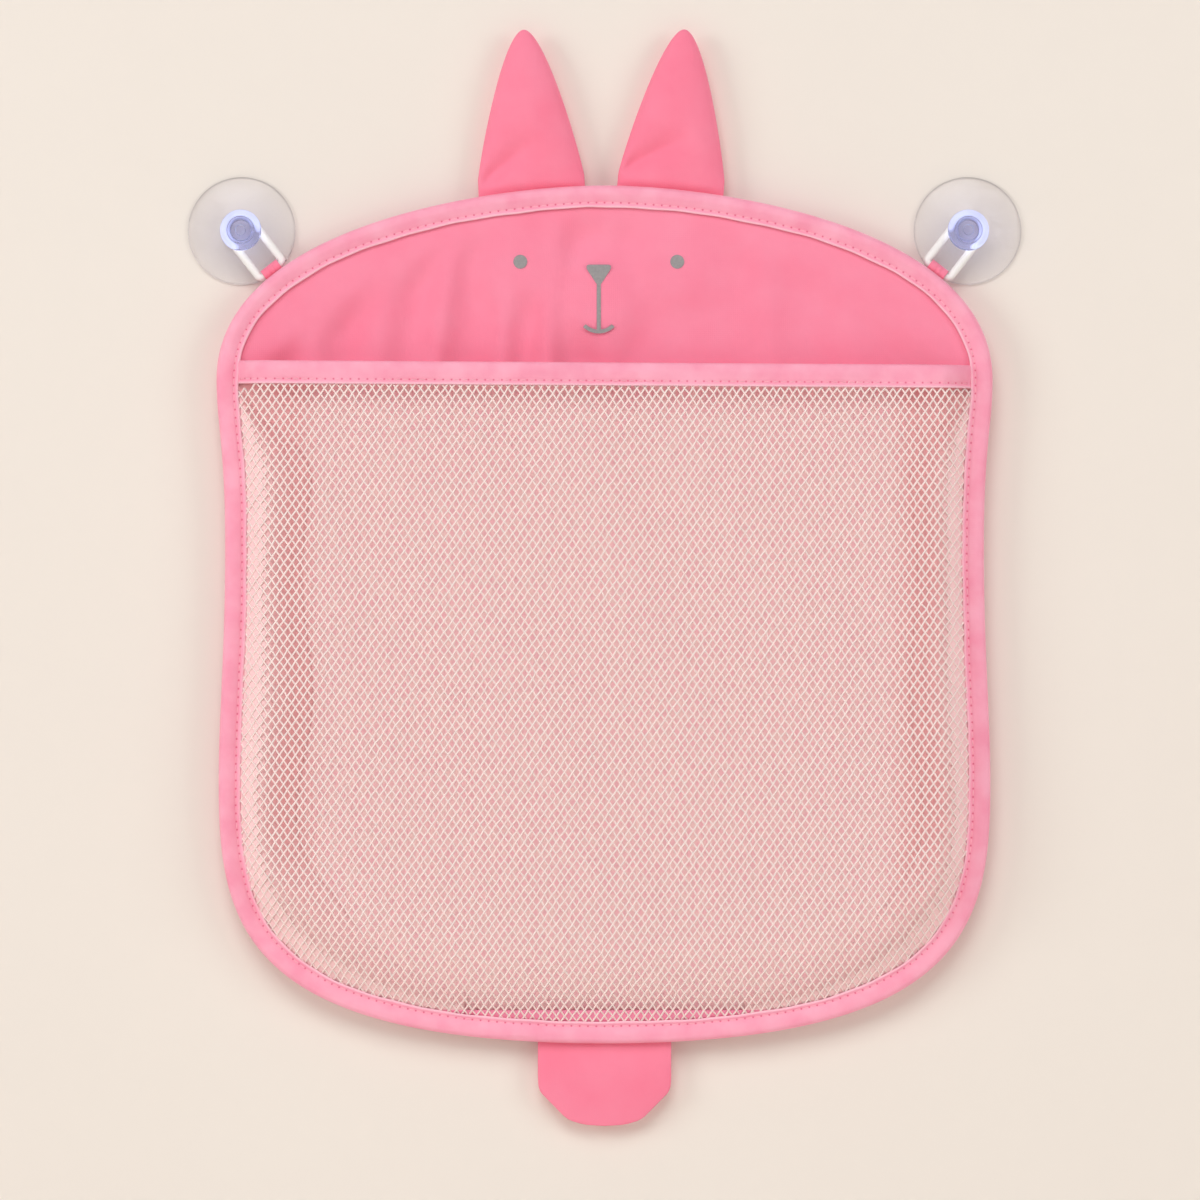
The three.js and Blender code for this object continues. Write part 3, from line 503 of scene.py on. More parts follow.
bump = add_node(tree, "ShaderNodeBump", {"Height": mottle, "Strength": 0.3, "Distance": 0.2 * MM})
tree.links.new(bump.outputs[0], shader.inputs["Normal"])

# %% Lining
LINING_INSET = 9.4
LINING_THICKNESS = 0.4
LINING_LOW = 2.0  # its top stays hidden where the hem sags
_, (_, LINING_FRONT), (LINING_FOOT, LINING_TOP) = extent("pocket_lining")
lining_loop = np.stack(edge_at(EDGE_LENGTH[:-1], LINING_INSET), axis=1)
lining_loop[:, 1] = np.clip(lining_loop[:, 1], LINING_FOOT, LINING_TOP - LINING_LOW)
x, z = filled(lining_loop, 111)
lining = skin("pocket_lining_cloth", place(x, LINING_FRONT, z), lining_cloth)
thicken(lining, LINING_THICKNESS)
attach(lining, "bag")
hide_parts("pocket_lining")
report(lining)

# %% [markdown]
# ## Net pocket
# The net is cream yarn knitted into upright diamonds, 3.3 mm wide and 4.8 mm tall. It hangs flat and
# leans out towards its foot, and its sides and base are drawn in to the binding, stretched so that the
# diamonds look as wide as before. An image of a net would look flat, so every strand is a real tube. Two
# families of strands lean left and right and meet at the knots.

# %% Shape of the pocket
NET_BACK = extent("pocket_lining")[1][0]
NET_HALF = 0.4
NET_TOP, NET_FOOT = SHOULDER_Z + 5.9, SHOULDER_Z - 231.5
MOUTH_DEPTH, BELLY_DEPTH = 10.5, 19.0
SIDE_RUN, BASE_RUN = 14.0, 36.0
BASE_TURN = 0.1
GUSSET_FOOT = 8.6
NET_TUCK = 6.2  # the net's edge, under the binding
BINDING_EDGE = 9.2
WAVES = ((0.5, 62, 0.6), (0.35, 41, 2.1))  # height, length and phase of the net's slack, in millimetres
WAVE_LEAN, WAVE_FADE = 0.35, (20, 60)  # sideways for each millimetre up, and from the bag's edge


def net_at(x, z):
    """Depth of the net and distance to the bag's edge at x and z: the depth rises from the binding as a
    quarter sine over the gusset's run, to a flat front whose depth grows steadily from the mouth to the
    foot."""
    edge, outwards = EDGE[::6], EDGE_OUT[::6]
    nearest = np.argmin((x[..., None] - edge[:, 0]) ** 2 + (z[..., None] - edge[:, 1]) ** 2, axis=-1)
    out = outwards[nearest]
    distance = -((x - edge[nearest, 0]) * out[..., 0] + (z - edge[nearest, 1]) * out[..., 1])
    run = SIDE_RUN + (BASE_RUN - SIDE_RUN) * smooth(-out[..., 1], BASE_TURN, 1)
    front = MOUTH_DEPTH + (BELLY_DEPTH - MOUTH_DEPTH) * (NET_TOP - z) / (NET_TOP - NET_FOOT)
    rise = np.sin(np.pi / 2 * np.clip((distance - GUSSET_FOOT) / run, 0, 1))
    wave = sum(h * np.sin(2 * np.pi * (x + WAVE_LEAN * z) / span + phase) for h, span, phase in WAVES)
    return NET_BACK + NET_HALF + front * rise + wave * smooth(distance, *WAVE_FADE), distance


# %% Knots of the net
CELL_WIDTH, CELL_HEIGHT, HALF_CELLS = 3.33, 4.84, 97  # half cells to each side of the middle
JITTER = 0.12
HEM_SEWN, HEM_REACH = 14.0, 8.0  # the hem's flat ends: from the bag's edge, and down from the net's top
row_z = np.arange(NET_TOP - CELL_HEIGHT / 2, BASE_Z + NET_TUCK, -CELL_HEIGHT / 2)
step = np.arange(-HALF_CELLS, HALF_CELLS + 1)
x, z = np.broadcast_arrays(step * CELL_WIDTH / 2, row_z[:, None])
depth, inset = net_at(x, z)
rng = np.random.default_rng(11)
knots = np.stack([x, depth, z], axis=-1) + rng.normal(0, JITTER, (*x.shape, 3)) * (1, 0.3, 1)
odd = (np.arange(len(row_z))[:, None] + step[None, :]) % 2 == 0
tucked = (inset < NET_TUCK) | (inset < HEM_SEWN) & (z > NET_TOP - HEM_REACH)  # under the binding or the hem
knots[odd | tucked] = np.nan
print(f"{np.isfinite(knots[..., 0]).sum()} knots in {len(row_z)} rows")

# %% Strands of the net
# Knitted polyester yarn, heat-set: a soft cream with a slight silky shine and a fuzzy outline.
net_yarn, tree, shader = new_finish("polyester_net_knitted", Roughness=0.65, Specular_IOR_Level=0.3,
                                    Sheen_Weight=0.5, Sheen_Roughness=0.5, Sheen_Tint=linear("#FFF0EA"))
_, _, yarn = mottled(tree, 1.2, ("#FFE3DF", "#FFF1ED"), (0.3, 0.7))
tree.links.new(yarn, shader.inputs["Base Color"])

STRAND = 0.8
CROSSING = 0.12  # one family of strands lies in front of the other


def strands(grid, lean):
    """Closed four-sided tubes along one family of strands. A strand moves one half cell sideways, lean, for
    each row down, so its knots are a diagonal of the grid. Each knot gets a ring of points: sideways, out,
    sideways and back."""
    count = len(row_z)
    start = np.arange(-count, len(step) + count)
    column = start[:, None] + lean * np.arange(count)[None, :]
    within = (column >= 0) & (column < len(step))
    knot = grid[np.arange(count)[None, :], np.clip(column, 0, len(step) - 1)]
    line = np.where(within[..., None], knot, np.nan)
    there = np.isfinite(line[..., 0])
    before = np.where(np.roll(there, 1, axis=1)[..., None], np.roll(line, 1, axis=1), line)
    after = np.where(np.roll(there, -1, axis=1)[..., None], np.roll(line, -1, axis=1), line)
    along = after - before
    along /= np.linalg.norm(along, axis=-1, keepdims=True)
    side = np.cross(along, (0, 1, 0))
    side /= np.linalg.norm(side, axis=-1, keepdims=True)
    out = np.cross(side, along)
    turn = np.array([(1, 0), (0, 1), (-1, 0), (0, -1)]) * STRAND / 2
    off = turn[:, 0, None] * side[:, :, None, :] + turn[:, 1, None] * out[:, :, None, :]
    ring = line[:, :, None, :] + off
    ring[..., 1] -= lean * CROSSING
    number = np.arange(there.size).reshape(there.shape) * 4
    joined = there[:, :-1] & there[:, 1:]
    first, second = number[:, :-1][joined], number[:, 1:][joined]
    corner = np.arange(4)
    walls = np.stack([first[:, None] + corner, first[:, None] + (corner + 1) % 4,
                      second[:, None] + (corner + 1) % 4, second[:, None] + corner], axis=-1).reshape(-1, 4)
    padded = np.pad(joined, ((0, 0), (1, 1)))
    tops, feet = number[padded[:, 1:] & ~padded[:, :-1]], number[padded[:, :-1] & ~padded[:, 1:]]
    caps = np.vstack([tops[:, None] + corner, feet[:, None] + corner])
    return ring.reshape(-1, 3), np.vstack([walls, caps])


def used_only(points, faces):
    """Leaves out points that no face uses, and numbers the rest again."""
    used, numbered = np.unique(faces, return_inverse=True)
    return points[used], numbered.reshape(faces.shape)


# %% Net
right, right_faces = strands(knots, 1)
left, left_faces = strands(knots, -1)
points, faces = used_only(np.vstack([right, left]), np.vstack([right_faces, left_faces + len(right)]))
net = close_up(add_mesh("pocket_net_yarn", place(*points.T), faces, net_yarn))
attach(net, "bag")
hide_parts("pocket_net_front", "pocket_net_sides")
report(net)

# %% [markdown]
# ## Facings behind the net
# Along the sides the net looks pale, because a facing is sewn in behind it. It touches the yarn at the
# binding and slopes down to the lining further in, which is the darker band there; a painted shade on its
# cloth deepens that band. Along the base a narrow strip of the pink cloth lies behind the net. Each is a
# strip of grid that takes its depth from the net.

# %% Facing cloth
# The same tricot, brushed, in the lining's pale colour. Further in, on the upright sides, it turns a deeper
# rose: painted shade for the darker band there.
SHADE_ACROSS = (0.32, 0.78)  # share of its width over which the painted shade comes in
SHADE_ABOVE = (-300.0, -235.0)  # heights over which the painted shade comes in
facing_cloth, tree, shader = new_finish("polyester_tricot_facing_knitted", Roughness=0.9,
                                        Specular_IOR_Level=0.2, Sheen_Weight=0.2)
spot = add_node(tree, "ShaderNodeTexCoord")
across = add_node(tree, "ShaderNodeSeparateXYZ", {0: spot.outputs["UV"]})
inward = add_node(tree, "ShaderNodeMapRange",
                  {"Value": across.outputs["X"], "From Min": SHADE_ACROSS[0], "From Max": SHADE_ACROSS[1]})
on_bag = add_node(tree, "ShaderNodeSeparateXYZ", {0: spot.outputs["Object"]})
shade_from, shade_full = (height * MM for height in SHADE_ABOVE)
upright = add_node(tree, "ShaderNodeMapRange",
                   {"Value": on_bag.outputs["Z"], "From Min": shade_from, "From Max": shade_full},
                   interpolation_type="SMOOTHSTEP")
# painted shade: on the upright sides the facing's inner part turns the deeper rose
painted_shade_share = add_node(tree, "ShaderNodeMath", {0: inward.outputs[0], 1: upright.outputs[0]}, operation="MULTIPLY")
shade_tinted = add_node(tree, "ShaderNodeMix", {0: painted_shade_share.outputs[0], 6: linear("#FED6D8"), 7: linear(SHADE_ROSE)},
                data_type="RGBA")
tree.links.new(shade_tinted.outputs[2], shader.inputs["Base Color"])

# %% Side facings
FACING_INSET = 7.8  # under the binding
FACING_WIDTH = {"left": 26.0, "right": 21.0}  # inside the binding, where it is widest
FACING_BEHIND = 0.3  # behind the middle of the strands
FACING_TO = 60.0  # its lower end, from the base's middle
FACING_ENDS = (45.0, 70.0)  # over which it widens below the shoulder, and narrows towards its lower end
FACING_LOW = 0.3  # its width at the lower end, as a share
FACING_SLOPE = 0.25  # the share of its width that touches the net before it slopes down
FACING_WAVE = (0.12, 17.0)  # how much its width wavers, as a share, and over what length
LAYER_GAP = 0.3  # its inner edge, off the lining
half_way = len(EDGE) // 2 + 1
shoulder = np.interp(-SHOULDER_Z, -EDGE[:half_way, 1], EDGE_LENGTH[:half_way])
run = np.linspace(shoulder, PERIMETER / 2 - FACING_TO, 180)[:, None]
gone, left_over = run - run[0], run[-1] - run
narrowing = FACING_LOW + (1 - FACING_LOW) * smooth(left_over, 0, FACING_ENDS[1])
fullness = (1 + FACING_WAVE[0] * np.sin(gone / FACING_WAVE[1])) * smooth(gone, 0, FACING_ENDS[0]) * narrowing
share = np.linspace(0, 1, 21)[None, :]
facings = []
for side, way in (("left", -1), ("right", 1)):
    reach = BINDING_EDGE - FACING_INSET + FACING_WIDTH[side] * fullness
    x, z = edge_at(run, FACING_INSET + reach * share)
    touching = net_at(x, z)[0] - FACING_BEHIND
    depth = touching + (LINING_FRONT + LAYER_GAP - touching) * smooth(share, FACING_SLOPE, 1)
    facing = close_up(skin(f"pocket_facing_{side}", place(way * x, depth, z), facing_cloth,
                           uv=(share[0], run[:, 0] * MM)))
    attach(facing, "bag")
    facings.append(report(facing))

# %% Base strip
# The same polyester as the panel, seen through the last row of the net: a stronger pink, as no lining lies on
# it. Its colours are also painted lighter than the panel cloth's, as painted light for a strip that lies in
# the shade of the net and binding.
strip_cloth_painted_lighter = woven_finish("polyester_seam_strip_painted_lighter", ("#FF93B6", "#FF9DBE"), 0.85, 0.1)
STRIP_BEHIND, STRIP_LAP = 0.15, 0.6  # behind the middle of the strands, and over the lining's foot
STRIP_FROM = 0.3  # it begins where its seam lies this far below the lining's foot
foot_x, foot_z = edge_at(np.linspace(0.35, 0.65, 600) * PERIMETER, FACING_INSET)
low = foot_z < LINING_FOOT - STRIP_FROM
strip_x = np.linspace(foot_x[low].min(), foot_x[low].max(), 160)
strip_foot = np.interp(strip_x, *sorted_by(foot_x, foot_z))
strip_z = strip_foot + np.linspace(0, 1, 9)[:, None] * (LINING_FOOT + STRIP_LAP - strip_foot)
strip_x = strip_x + 0 * strip_z
strip_depth = net_at(strip_x, strip_z)[0] - STRIP_BEHIND
strip = skin("pocket_base_strip", place(strip_x, strip_depth, strip_z), strip_cloth_painted_lighter)
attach(strip, "bag")
report(strip)

FACING_THICKNESS = 0.3
for piece in (*facings, strip):
    thicken(piece, FACING_THICKNESS)

# %% [markdown]
# ## Edge binding
# A pink tape is folded over the whole edge and sewn through. The fold puffs up, the stitch line pulls a
# groove, and the tape's inner edge stands up as a small bead. A flat band with a bump would miss that, so
# its real section is carried along the edge. The puff swells and sinks a little, as tape does when it is
# eased round a curve.

# %% Binding tape
# Woven polyester tape: fine ribs across its length and a soft satin shine, paler than the cloth it binds.
# The real ribs of 0.5 mm are drawn at 1 mm. The dimple at each stitch is painted darker, as painted shade in
# the needle hole, and a paler line along the tape's sewn edge is a painted highlight on its bead.
RIB = 1.0
STITCH_PITCH = 3.5
STITCH_INSET = 2.0  # from the tape's sewn edge
NEEDLE_HOLE = (0.15, 0.6)  # radius of a dimple's floor and of its rim
tape, tree, shader = new_finish("polyester_tape_woven", Roughness=0.6, Specular_IOR_Level=0.3,
                                Sheen_Weight=0.25, Sheen_Roughness=0.4)
spot, _, dye = mottled(tree, 11, ("#FB9CB7", "#FFB0C7"), (0.3, 0.7), 4.0)
ribs = add_node(tree, "ShaderNodeTexWave", {"Vector": spot.outputs["UV"], "Scale": wave_scale(RIB)},
                bands_direction="Y")
on_tape = add_node(tree, "ShaderNodeSeparateXYZ", {0: spot.outputs["UV"]})
beside = add_node(tree, "ShaderNodeMath", {0: on_tape.outputs["X"], 1: STITCH_INSET * MM},
                  operation="SUBTRACT")
between = add_node(tree, "ShaderNodeMath", {0: on_tape.outputs["Y"], 1: STITCH_PITCH / 2 * MM,
                                            2: -STITCH_PITCH / 2 * MM}, operation="WRAP")
away = add_node(tree, "ShaderNodeCombineXYZ", {"X": beside.outputs[0], "Y": between.outputs[0]})
away = add_node(tree, "ShaderNodeVectorMath", {0: away.outputs[0]}, operation="LENGTH")
hole = add_node(tree, "ShaderNodeMapRange", {"Value": away.outputs["Value"], "From Min": NEEDLE_HOLE[0] * MM,
                                             "From Max": NEEDLE_HOLE[1] * MM, "To Min": 1.0, "To Max": 0.0})
# painted highlight: a paler line along the bead at the tape's sewn edge
edge_highlight = add_node(tree, "ShaderNodeMapRange", {"Value": on_tape.outputs["X"], "From Min": 0.4 * MM,
                                                  "From Max": 1.1 * MM, "To Min": 0.7, "To Max": 0.0})
highlighted = add_node(tree, "ShaderNodeMix", {0: edge_highlight.outputs[0], 6: dye, 7: linear("#FFD0DC")},
                 data_type="RGBA")
# painted shade: each needle hole is darker
hole_shaded = add_node(tree, "ShaderNodeMix", {0: hole.outputs[0], 6: highlighted.outputs[2], 7: linear("#E76F8D")},
                   data_type="RGBA")
tree.links.new(hole_shaded.outputs[2], shader.inputs["Base Color"])
grain = add_node(tree, "ShaderNodeMath", {0: hole.outputs[0], 1: -4.0, 2: ribs.outputs["Fac"]},
                 operation="MULTIPLY_ADD")
bump = add_node(tree, "ShaderNodeBump", {"Height": grain.outputs[0], "Strength": 0.2, "Distance": 0.06 * MM})
tree.links.new(bump.outputs[0], shader.inputs["Normal"])

# %% Binding section
BINDING_WIDTH, BINDING_FOLD, BINDING_TAPE = BINDING_EDGE, 2.2, 0.8
STITCH_LINE = BINDING_WIDTH - STITCH_INSET  # from the outer edge
PUFF, GROOVE, BEAD = 0.45, 0.3, 0.4
FACE_STEPS = 22  # points across one face of the tape
SLOPE_FROM = 3.0  # from the fold: where the face begins to slope down to the sewn edge
CROWN_SINK, POCKET_SINK = 0.9, 0.3  # how far the sewn edge is pulled down, on the bare panel and over the net


def sewn_down(z):
    """How far the tape's sewn edge is pulled down at a height z: more above the pocket's hem than below
    it."""
    return POCKET_SINK + (CROWN_SINK - POCKET_SINK) * smooth(z, HEM_TOP - 8, HEM_TOP + 8)


def tape_relief(across, puff, sink):
    """How far the tape stands up at a distance from its fold: a puff between fold and stitch line, a slope
    down to the sewn edge, a narrow groove on the stitch line, and a bead on the edge."""
    hill = np.sin(np.pi * np.clip(across / STITCH_LINE, 0, 1)) ** 0.8
    groove = np.exp(-(((across - STITCH_LINE) / 0.6) ** 2))
    bead = np.exp(-(((across - BINDING_WIDTH + 0.7) / 0.6) ** 2))
    return puff * hill - sink * smooth(across, SLOPE_FROM, STITCH_LINE) - GROOVE * groove + BEAD * bead


def binding_section(puff, sink):
    """The folded tape's closed section as distance inside the edge and plain depth, and its relief at each
    place along the edge: front face outwards, half an ellipse round the fold, back face inwards, then the
    same way back inside."""
    face = np.linspace(BINDING_WIDTH, BINDING_FOLD, FACE_STEPS)
    turn = np.linspace(np.pi / 2, 1.5 * np.pi, 13)[1:-1]
    half, mid = (BINDING_FRONT - BINDING_BACK) / 2, (BINDING_FRONT + BINDING_BACK) / 2
    inner = np.array([BINDING_WIDTH, STITCH_LINE, BINDING_TAPE])
    across = np.concatenate([face, BINDING_FOLD * (1 + np.cos(turn)), face[::-1], inner, inner[::-1]])
    plain = np.concatenate([np.full(FACE_STEPS, BINDING_FRONT), mid + half * np.sin(turn),
                            np.full(FACE_STEPS, BINDING_BACK), np.full(3, BINDING_BACK + BINDING_TAPE),
                            np.full(3, BINDING_FRONT - BINDING_TAPE)])
    front = tape_relief(face, puff[:, None], sink[:, None])
    back = -0.5 * np.maximum(tape_relief(face[::-1], puff[:, None], 0), -GROOVE / 2)
    fold = np.where(np.sin(turn) > 0, front[:, -1:], -back[:, :1]) * np.sin(turn)
    under = -sink[:, None] * smooth(inner[::-1], SLOPE_FROM, STITCH_LINE)
    return across, plain, np.concatenate([front, fold, back, np.zeros((len(puff), 3)), under], axis=1)


# %% Binding
along = np.linspace(0, PERIMETER, 1200, endpoint=False)
turns = 2 * np.pi * along / PERIMETER
ease = 1 + 0.3 * np.sin(31 * turns + 1) + 0.25 * np.sin(47 * turns) + 0.2 * np.sin(83 * turns + 2)
across, plain, relief = binding_section(PUFF * ease, sewn_down(edge_at(along, 0)[1]))
TAPE_END, TAPE_LAP = PERIMETER / 2 + 28.5, 0.4  # the tape's end overlaps its start, left of the tail
overlap = smooth(along, TAPE_END - 0.6, TAPE_END + 0.6) * (1 - smooth(along, TAPE_END + 10, TAPE_END + 14))
relief[:, :FACE_STEPS] += TAPE_LAP * overlap[:, None]
wander = 0.12 * np.sin(23 * turns) + 0.1 * np.sin(61 * turns + 1)  # the sewn edge isn't quite even
inner_share = np.clip(across / BINDING_WIDTH, 0, 1) ** 3
x, z = edge_at(along[:, None], across[None, :] + wander[:, None] * inner_share[None, :])
STITCHES_ROUND = round(PERIMETER / STITCH_PITCH)
tape_across = lengths(across, plain) * MM
tape_along = np.append(along, PERIMETER) * STITCHES_ROUND * STITCH_PITCH / PERIMETER * MM
binding = skin("edge_binding_tape", place(x, plain + relief, z), tape, around=True, looped=True,
               uv=(np.append(tape_across, tape_across[-1] + BINDING_TAPE * MM), tape_along))
close_up(binding)
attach(binding, "bag")
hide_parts("edge_binding")
report(binding)

# %% [markdown]
# ## Stitches
# A lockstitch shows as a row of short threads with a small hole between each two. Each thread here is a
# little tube with pointed ends. Hundreds are needed, so one has only a few dozen faces, and all of a row
# are one mesh.

# %% Thread
# Spun polyester sewing thread: a tone paler than the tape, with a dull shine.
thread, tree, shader = new_finish("polyester_thread_spun", Roughness=0.6, Specular_IOR_Level=0.3,
                                  Sheen_Weight=0.2)
_, _, spun = mottled(tree, 0.5, ("#F7A5B8", "#FFC3D0"))
tree.links.new(spun, shader.inputs["Base Color"])

STITCH_LENGTH, STITCH_START, THREAD = 2.7, 0.4, 0.5


def stitches(name, start, end):
    """Spindles from start to end (n, 3) in millimetres: rings of six points whose radius is half the
    thread's times sqrt(1 - s^2), with s from -1 to 1 along the stitch, sunk at both ends."""
    s = np.array([-1, -0.85, -0.4, 0.4, 0.85, 1.0])
    angle = np.arange(6) * np.pi / 3
    along = (end - start) / np.linalg.norm(end - start, axis=1, keepdims=True)
    side = np.cross(along, (0, 1, 0))
    centre = ((start + end) / 2)[:, None, :] + (end - start)[:, None, :] / 2 * s[:, None]
    radius = THREAD / 2 * np.sqrt(1 - s**2)
    sink = np.stack([0 * s, 0.25 * (1 - s**2) - 0.25, 0 * s], axis=1) * THREAD
    ring = np.cos(angle)[:, None] * side[:, None, None, :] + np.sin(angle)[:, None] * np.array([0, 1.0, 0])
    points = (centre + sink)[:, :, None, :] + radius[None, :, None, None] * ring
    count, rows, columns = points.shape[:3]
    r, c = np.meshgrid(np.arange(rows - 1), np.arange(columns), indexing="ij")
    one = np.stack([r * columns + c, r * columns + (c + 1) % columns,
                    (r + 1) * columns + (c + 1) % columns, (r + 1) * columns + c], axis=-1).reshape(-1, 4)
    faces = (np.arange(count)[:, None, None] * rows * columns + one).reshape(-1, 4)
    row = close_up(add_mesh(name, place(*points.reshape(-1, 3).T), faces, thread))
    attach(row, "bag")
    report(row)


# %% Binding stitches
begin = np.arange(STITCHES_ROUND) * PERIMETER / STITCHES_ROUND + STITCH_START
ends = [edge_at(run, STITCH_LINE) for run in (begin, begin + STITCH_LENGTH)]
stitches("binding_stitches_front",
         *(np.stack([x, BINDING_FRONT - sewn_down(z) - GROOVE + 0.1, z], axis=1) for x, z in ends))
stitches("binding_stitches_back",
         *(np.stack([x, np.full(len(x), BINDING_BACK + GROOVE / 4 - 0.1), z], axis=1) for x, z in ends))

# %% [markdown]
# ## Pocket hem
# The same tape is folded over the net's top edge. It runs straight across the mouth and bends back to the
# binding at both ends. Its section is carried along the net's own top line, tilted as little as in the
# photograph, and a row of stitches closes it near its lower edge.

# %% Hem
(_, HEM_RIGHT), _, (HEM_FOOT, _) = extent("pocket_hem")
HEM_HALF_THICKNESS, HEM_TAPE = 1.3, 0.6
HEM_TILT = 1.0  # millimetres up at the left end and down at the right
HEM_UNDER = 2.6  # how far its ends reach under the binding
HEM_STEPS = 16  # points up one face of the tape
HEM_PUFF, HEM_GROOVE = 0.4, 0.35

hem_x = np.linspace(-HEM_RIGHT - HEM_UNDER, HEM_RIGHT + HEM_UNDER, 420)
hem_depth = net_at(hem_x, np.full(hem_x.shape, NET_TOP))[0]
hem_slope = np.gradient(hem_depth, hem_x)
hem_out = np.stack([-hem_slope, np.ones_like(hem_slope)], axis=1) / np.hypot(1, hem_slope)[:, None]
hem_lift = -HEM_TILT * hem_x / HEM_RIGHT
hem_press = 1 - 0.55 * smooth(np.abs(hem_x), HEM_RIGHT - 4, HEM_RIGHT + 1)  # flattened where it is sewn under
hem_fullness = 1 + 0.35 * np.sin(hem_x / 7.3) + 0.3 * np.sin(hem_x / 11.9 + 1)


def hem_section():
    """The hem's section as height, distance from its middle and relief: up the front face, over the fold,
    down the back, and inside."""
    half = HEM_HALF_THICKNESS
    face = np.linspace(HEM_FOOT, HEM_TOP - half, HEM_STEPS)
    turn = np.linspace(0, np.pi, 9)[1:-1]
    inner = np.array([HEM_FOOT, HEM_TOP - half])
    height = np.concatenate([face, HEM_TOP - half * (1 - np.sin(turn)), face[::-1], inner, inner[::-1]])
    off = np.concatenate([np.full(HEM_STEPS, half), half * np.cos(turn), np.full(HEM_STEPS, -half),
                          np.full(2, HEM_TAPE - half), np.full(2, half - HEM_TAPE)])
    above = face - HEM_FOOT
    hill = np.sin(np.pi * smooth(above, STITCH_INSET, 10))
    relief = HEM_PUFF * hill - HEM_GROOVE * np.exp(-(((above - STITCH_INSET) / 0.6) ** 2))
    relief = np.concatenate([relief, np.zeros(7), -relief[::-1], np.zeros(4)])
    return height, off, relief


height, off, relief = hem_section()
stand = (off[None, :] + relief[None, :] * hem_fullness[:, None]) * hem_press[:, None]
hem_points = place(hem_x[:, None] + hem_out[:, :1] * stand, hem_depth[:, None] + hem_out[:, 1:] * stand,
                   height[None, :] + hem_lift[:, None])
shut = np.broadcast_to(hem_points[[0, -1]].mean(axis=1, keepdims=True), (2, *hem_points.shape[1:]))
hem_points = np.concatenate([shut[:1], hem_points, shut[1:]])
hem_across = lengths(height, off) * MM
hem_run = lengths(hem_x, hem_depth)
hem = skin("pocket_hem_tape", hem_points, tape, around=True,
           uv=(np.append(hem_across, hem_across[-1] + HEM_TAPE * MM), np.pad(hem_run, 1, mode="edge") * MM))
close_up(hem)
hem_length = hem_run[-1]
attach(hem, "bag")
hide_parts("pocket_hem")
report(hem)

# %% Hem stitches
begin = np.arange(1, hem_length // STITCH_PITCH - 1) * STITCH_PITCH + STITCH_START
for name, side in (("hem_stitches_front", 1), ("hem_stitches_back", -1)):
    ends = []
    for run in (begin, begin + STITCH_LENGTH):
        x, depth, lift, out_x, out_depth = (np.interp(run, hem_run, values)
                                            for values in (hem_x, hem_depth, hem_lift, *hem_out.T))
        stand = side * (HEM_HALF_THICKNESS - 0.2)
        height = HEM_FOOT + STITCH_INSET + lift
        ends.append(np.stack([x + stand * out_x, depth + stand * out_depth, height], axis=1))
    stitches(name, *ends)

# %% [markdown]
# ## Printed face
# Two round eyes and a small nose and mouth are printed on the panel in grey. The print is flat and has
# its exact shape in the CAD model already, so those nodes stay and only get a finish.

# %% Ink
# Screen-printed plastisol ink: a matt grey film with a slight speckle where the cloth's thread shows through.
ink, tree, shader = new_finish("plastisol_ink_printed", Roughness=0.7, Specular_IOR_Level=0.3)
_, _, film = mottled(tree, 1.1, ("#928F90", "#9F9C9D"), (0.3, 0.7))
tree.links.new(film, shader.inputs["Base Color"])
for node in ("print_eye_left", "print_eye_right", "print_nose_mouth"):
    mark = frame["nodes"][node]
    mark.data.materials.clear()
    mark.data.materials.append(ink)
print("three printed marks keep their CAD shape")

# %% [markdown]
# ## Padded ears
# Each ear is two cloths sewn face to face, turned, stuffed with wadding and sewn in behind the binding.
# Padding gets its look from cloth that is pushed out from inside, so a cloth simulation blows up a
# thinner cushion. Its root, tip and seam are held still, which keeps the outline. The soft diagonal fold
# above each root comes after it, where the photograph shows it.

# %% Ear cloth
# Brushed polyester: the same weave with a short nap, so it is a little softer and stronger in colour than
# the panel.
ear_cloth = woven_finish("polyester_ear_cloth_brushed", ("#FC809C", "#FD8BA6"), 0.9, 0.2)

# %% Cushion form
EAR_HALF, EAR_HEIGHT, EAR_RISE = 22.3, 66.9, 5.0
EAR_SHOULDER, EAR_TIP_EASE = (19.5, 17.0), 8.0
ROOT_TUCK, ROOT_HALF = 8.0, 0.7
SEAM_DEPTH = 7.7
EAR_CROWN, EAR_ROLL, EAR_FULLNESS = 4.0, (-6.0, -2.0), 2.4  # the roll where the ear leaves its seam


def joint_frame(name):
    """A hinge's place in x and z, and the directions along its axis and upwards from it, in millimetres."""
    hinge = next(joint for joint in frame["joints"] if joint["name"] == name)
    at, axis = np.array(hinge["pos_m"])[[0, 2]] / MM, np.array(hinge["axis"])[[0, 2]]
    axis = axis * np.sign(axis[0])
    return at, axis, np.array([-axis[1], axis[0]])


def cushion(name, height, half_width, half_thickness, hinge, finish):
    """A closed form of level sections. Each is two arcs, front and back, that meet at the seam: across is
    half_width cos(a), and depth is half_thickness(height) sqrt(1 - |cos a|^2.4) on each side of the seam,
    with a thin edge."""
    angle = np.linspace(0, 2 * np.pi, 56, endpoint=False)
    share = np.cos(angle)
    bulge = np.sign(np.sin(angle)) * np.sqrt(np.clip(1 - np.abs(share) ** EAR_FULLNESS, 0, 1))
    across = half_width[:, None] * share
    depth = SEAM_DEPTH + half_thickness[:, None] * bulge
    at, along, up = hinge
    x = at[0] + across * along[0] + height[:, None] * up[0]
    z = at[1] + across * along[1] + height[:, None] * up[1]
    return close_up(skin(name, place(x, depth, z), finish, around=True))


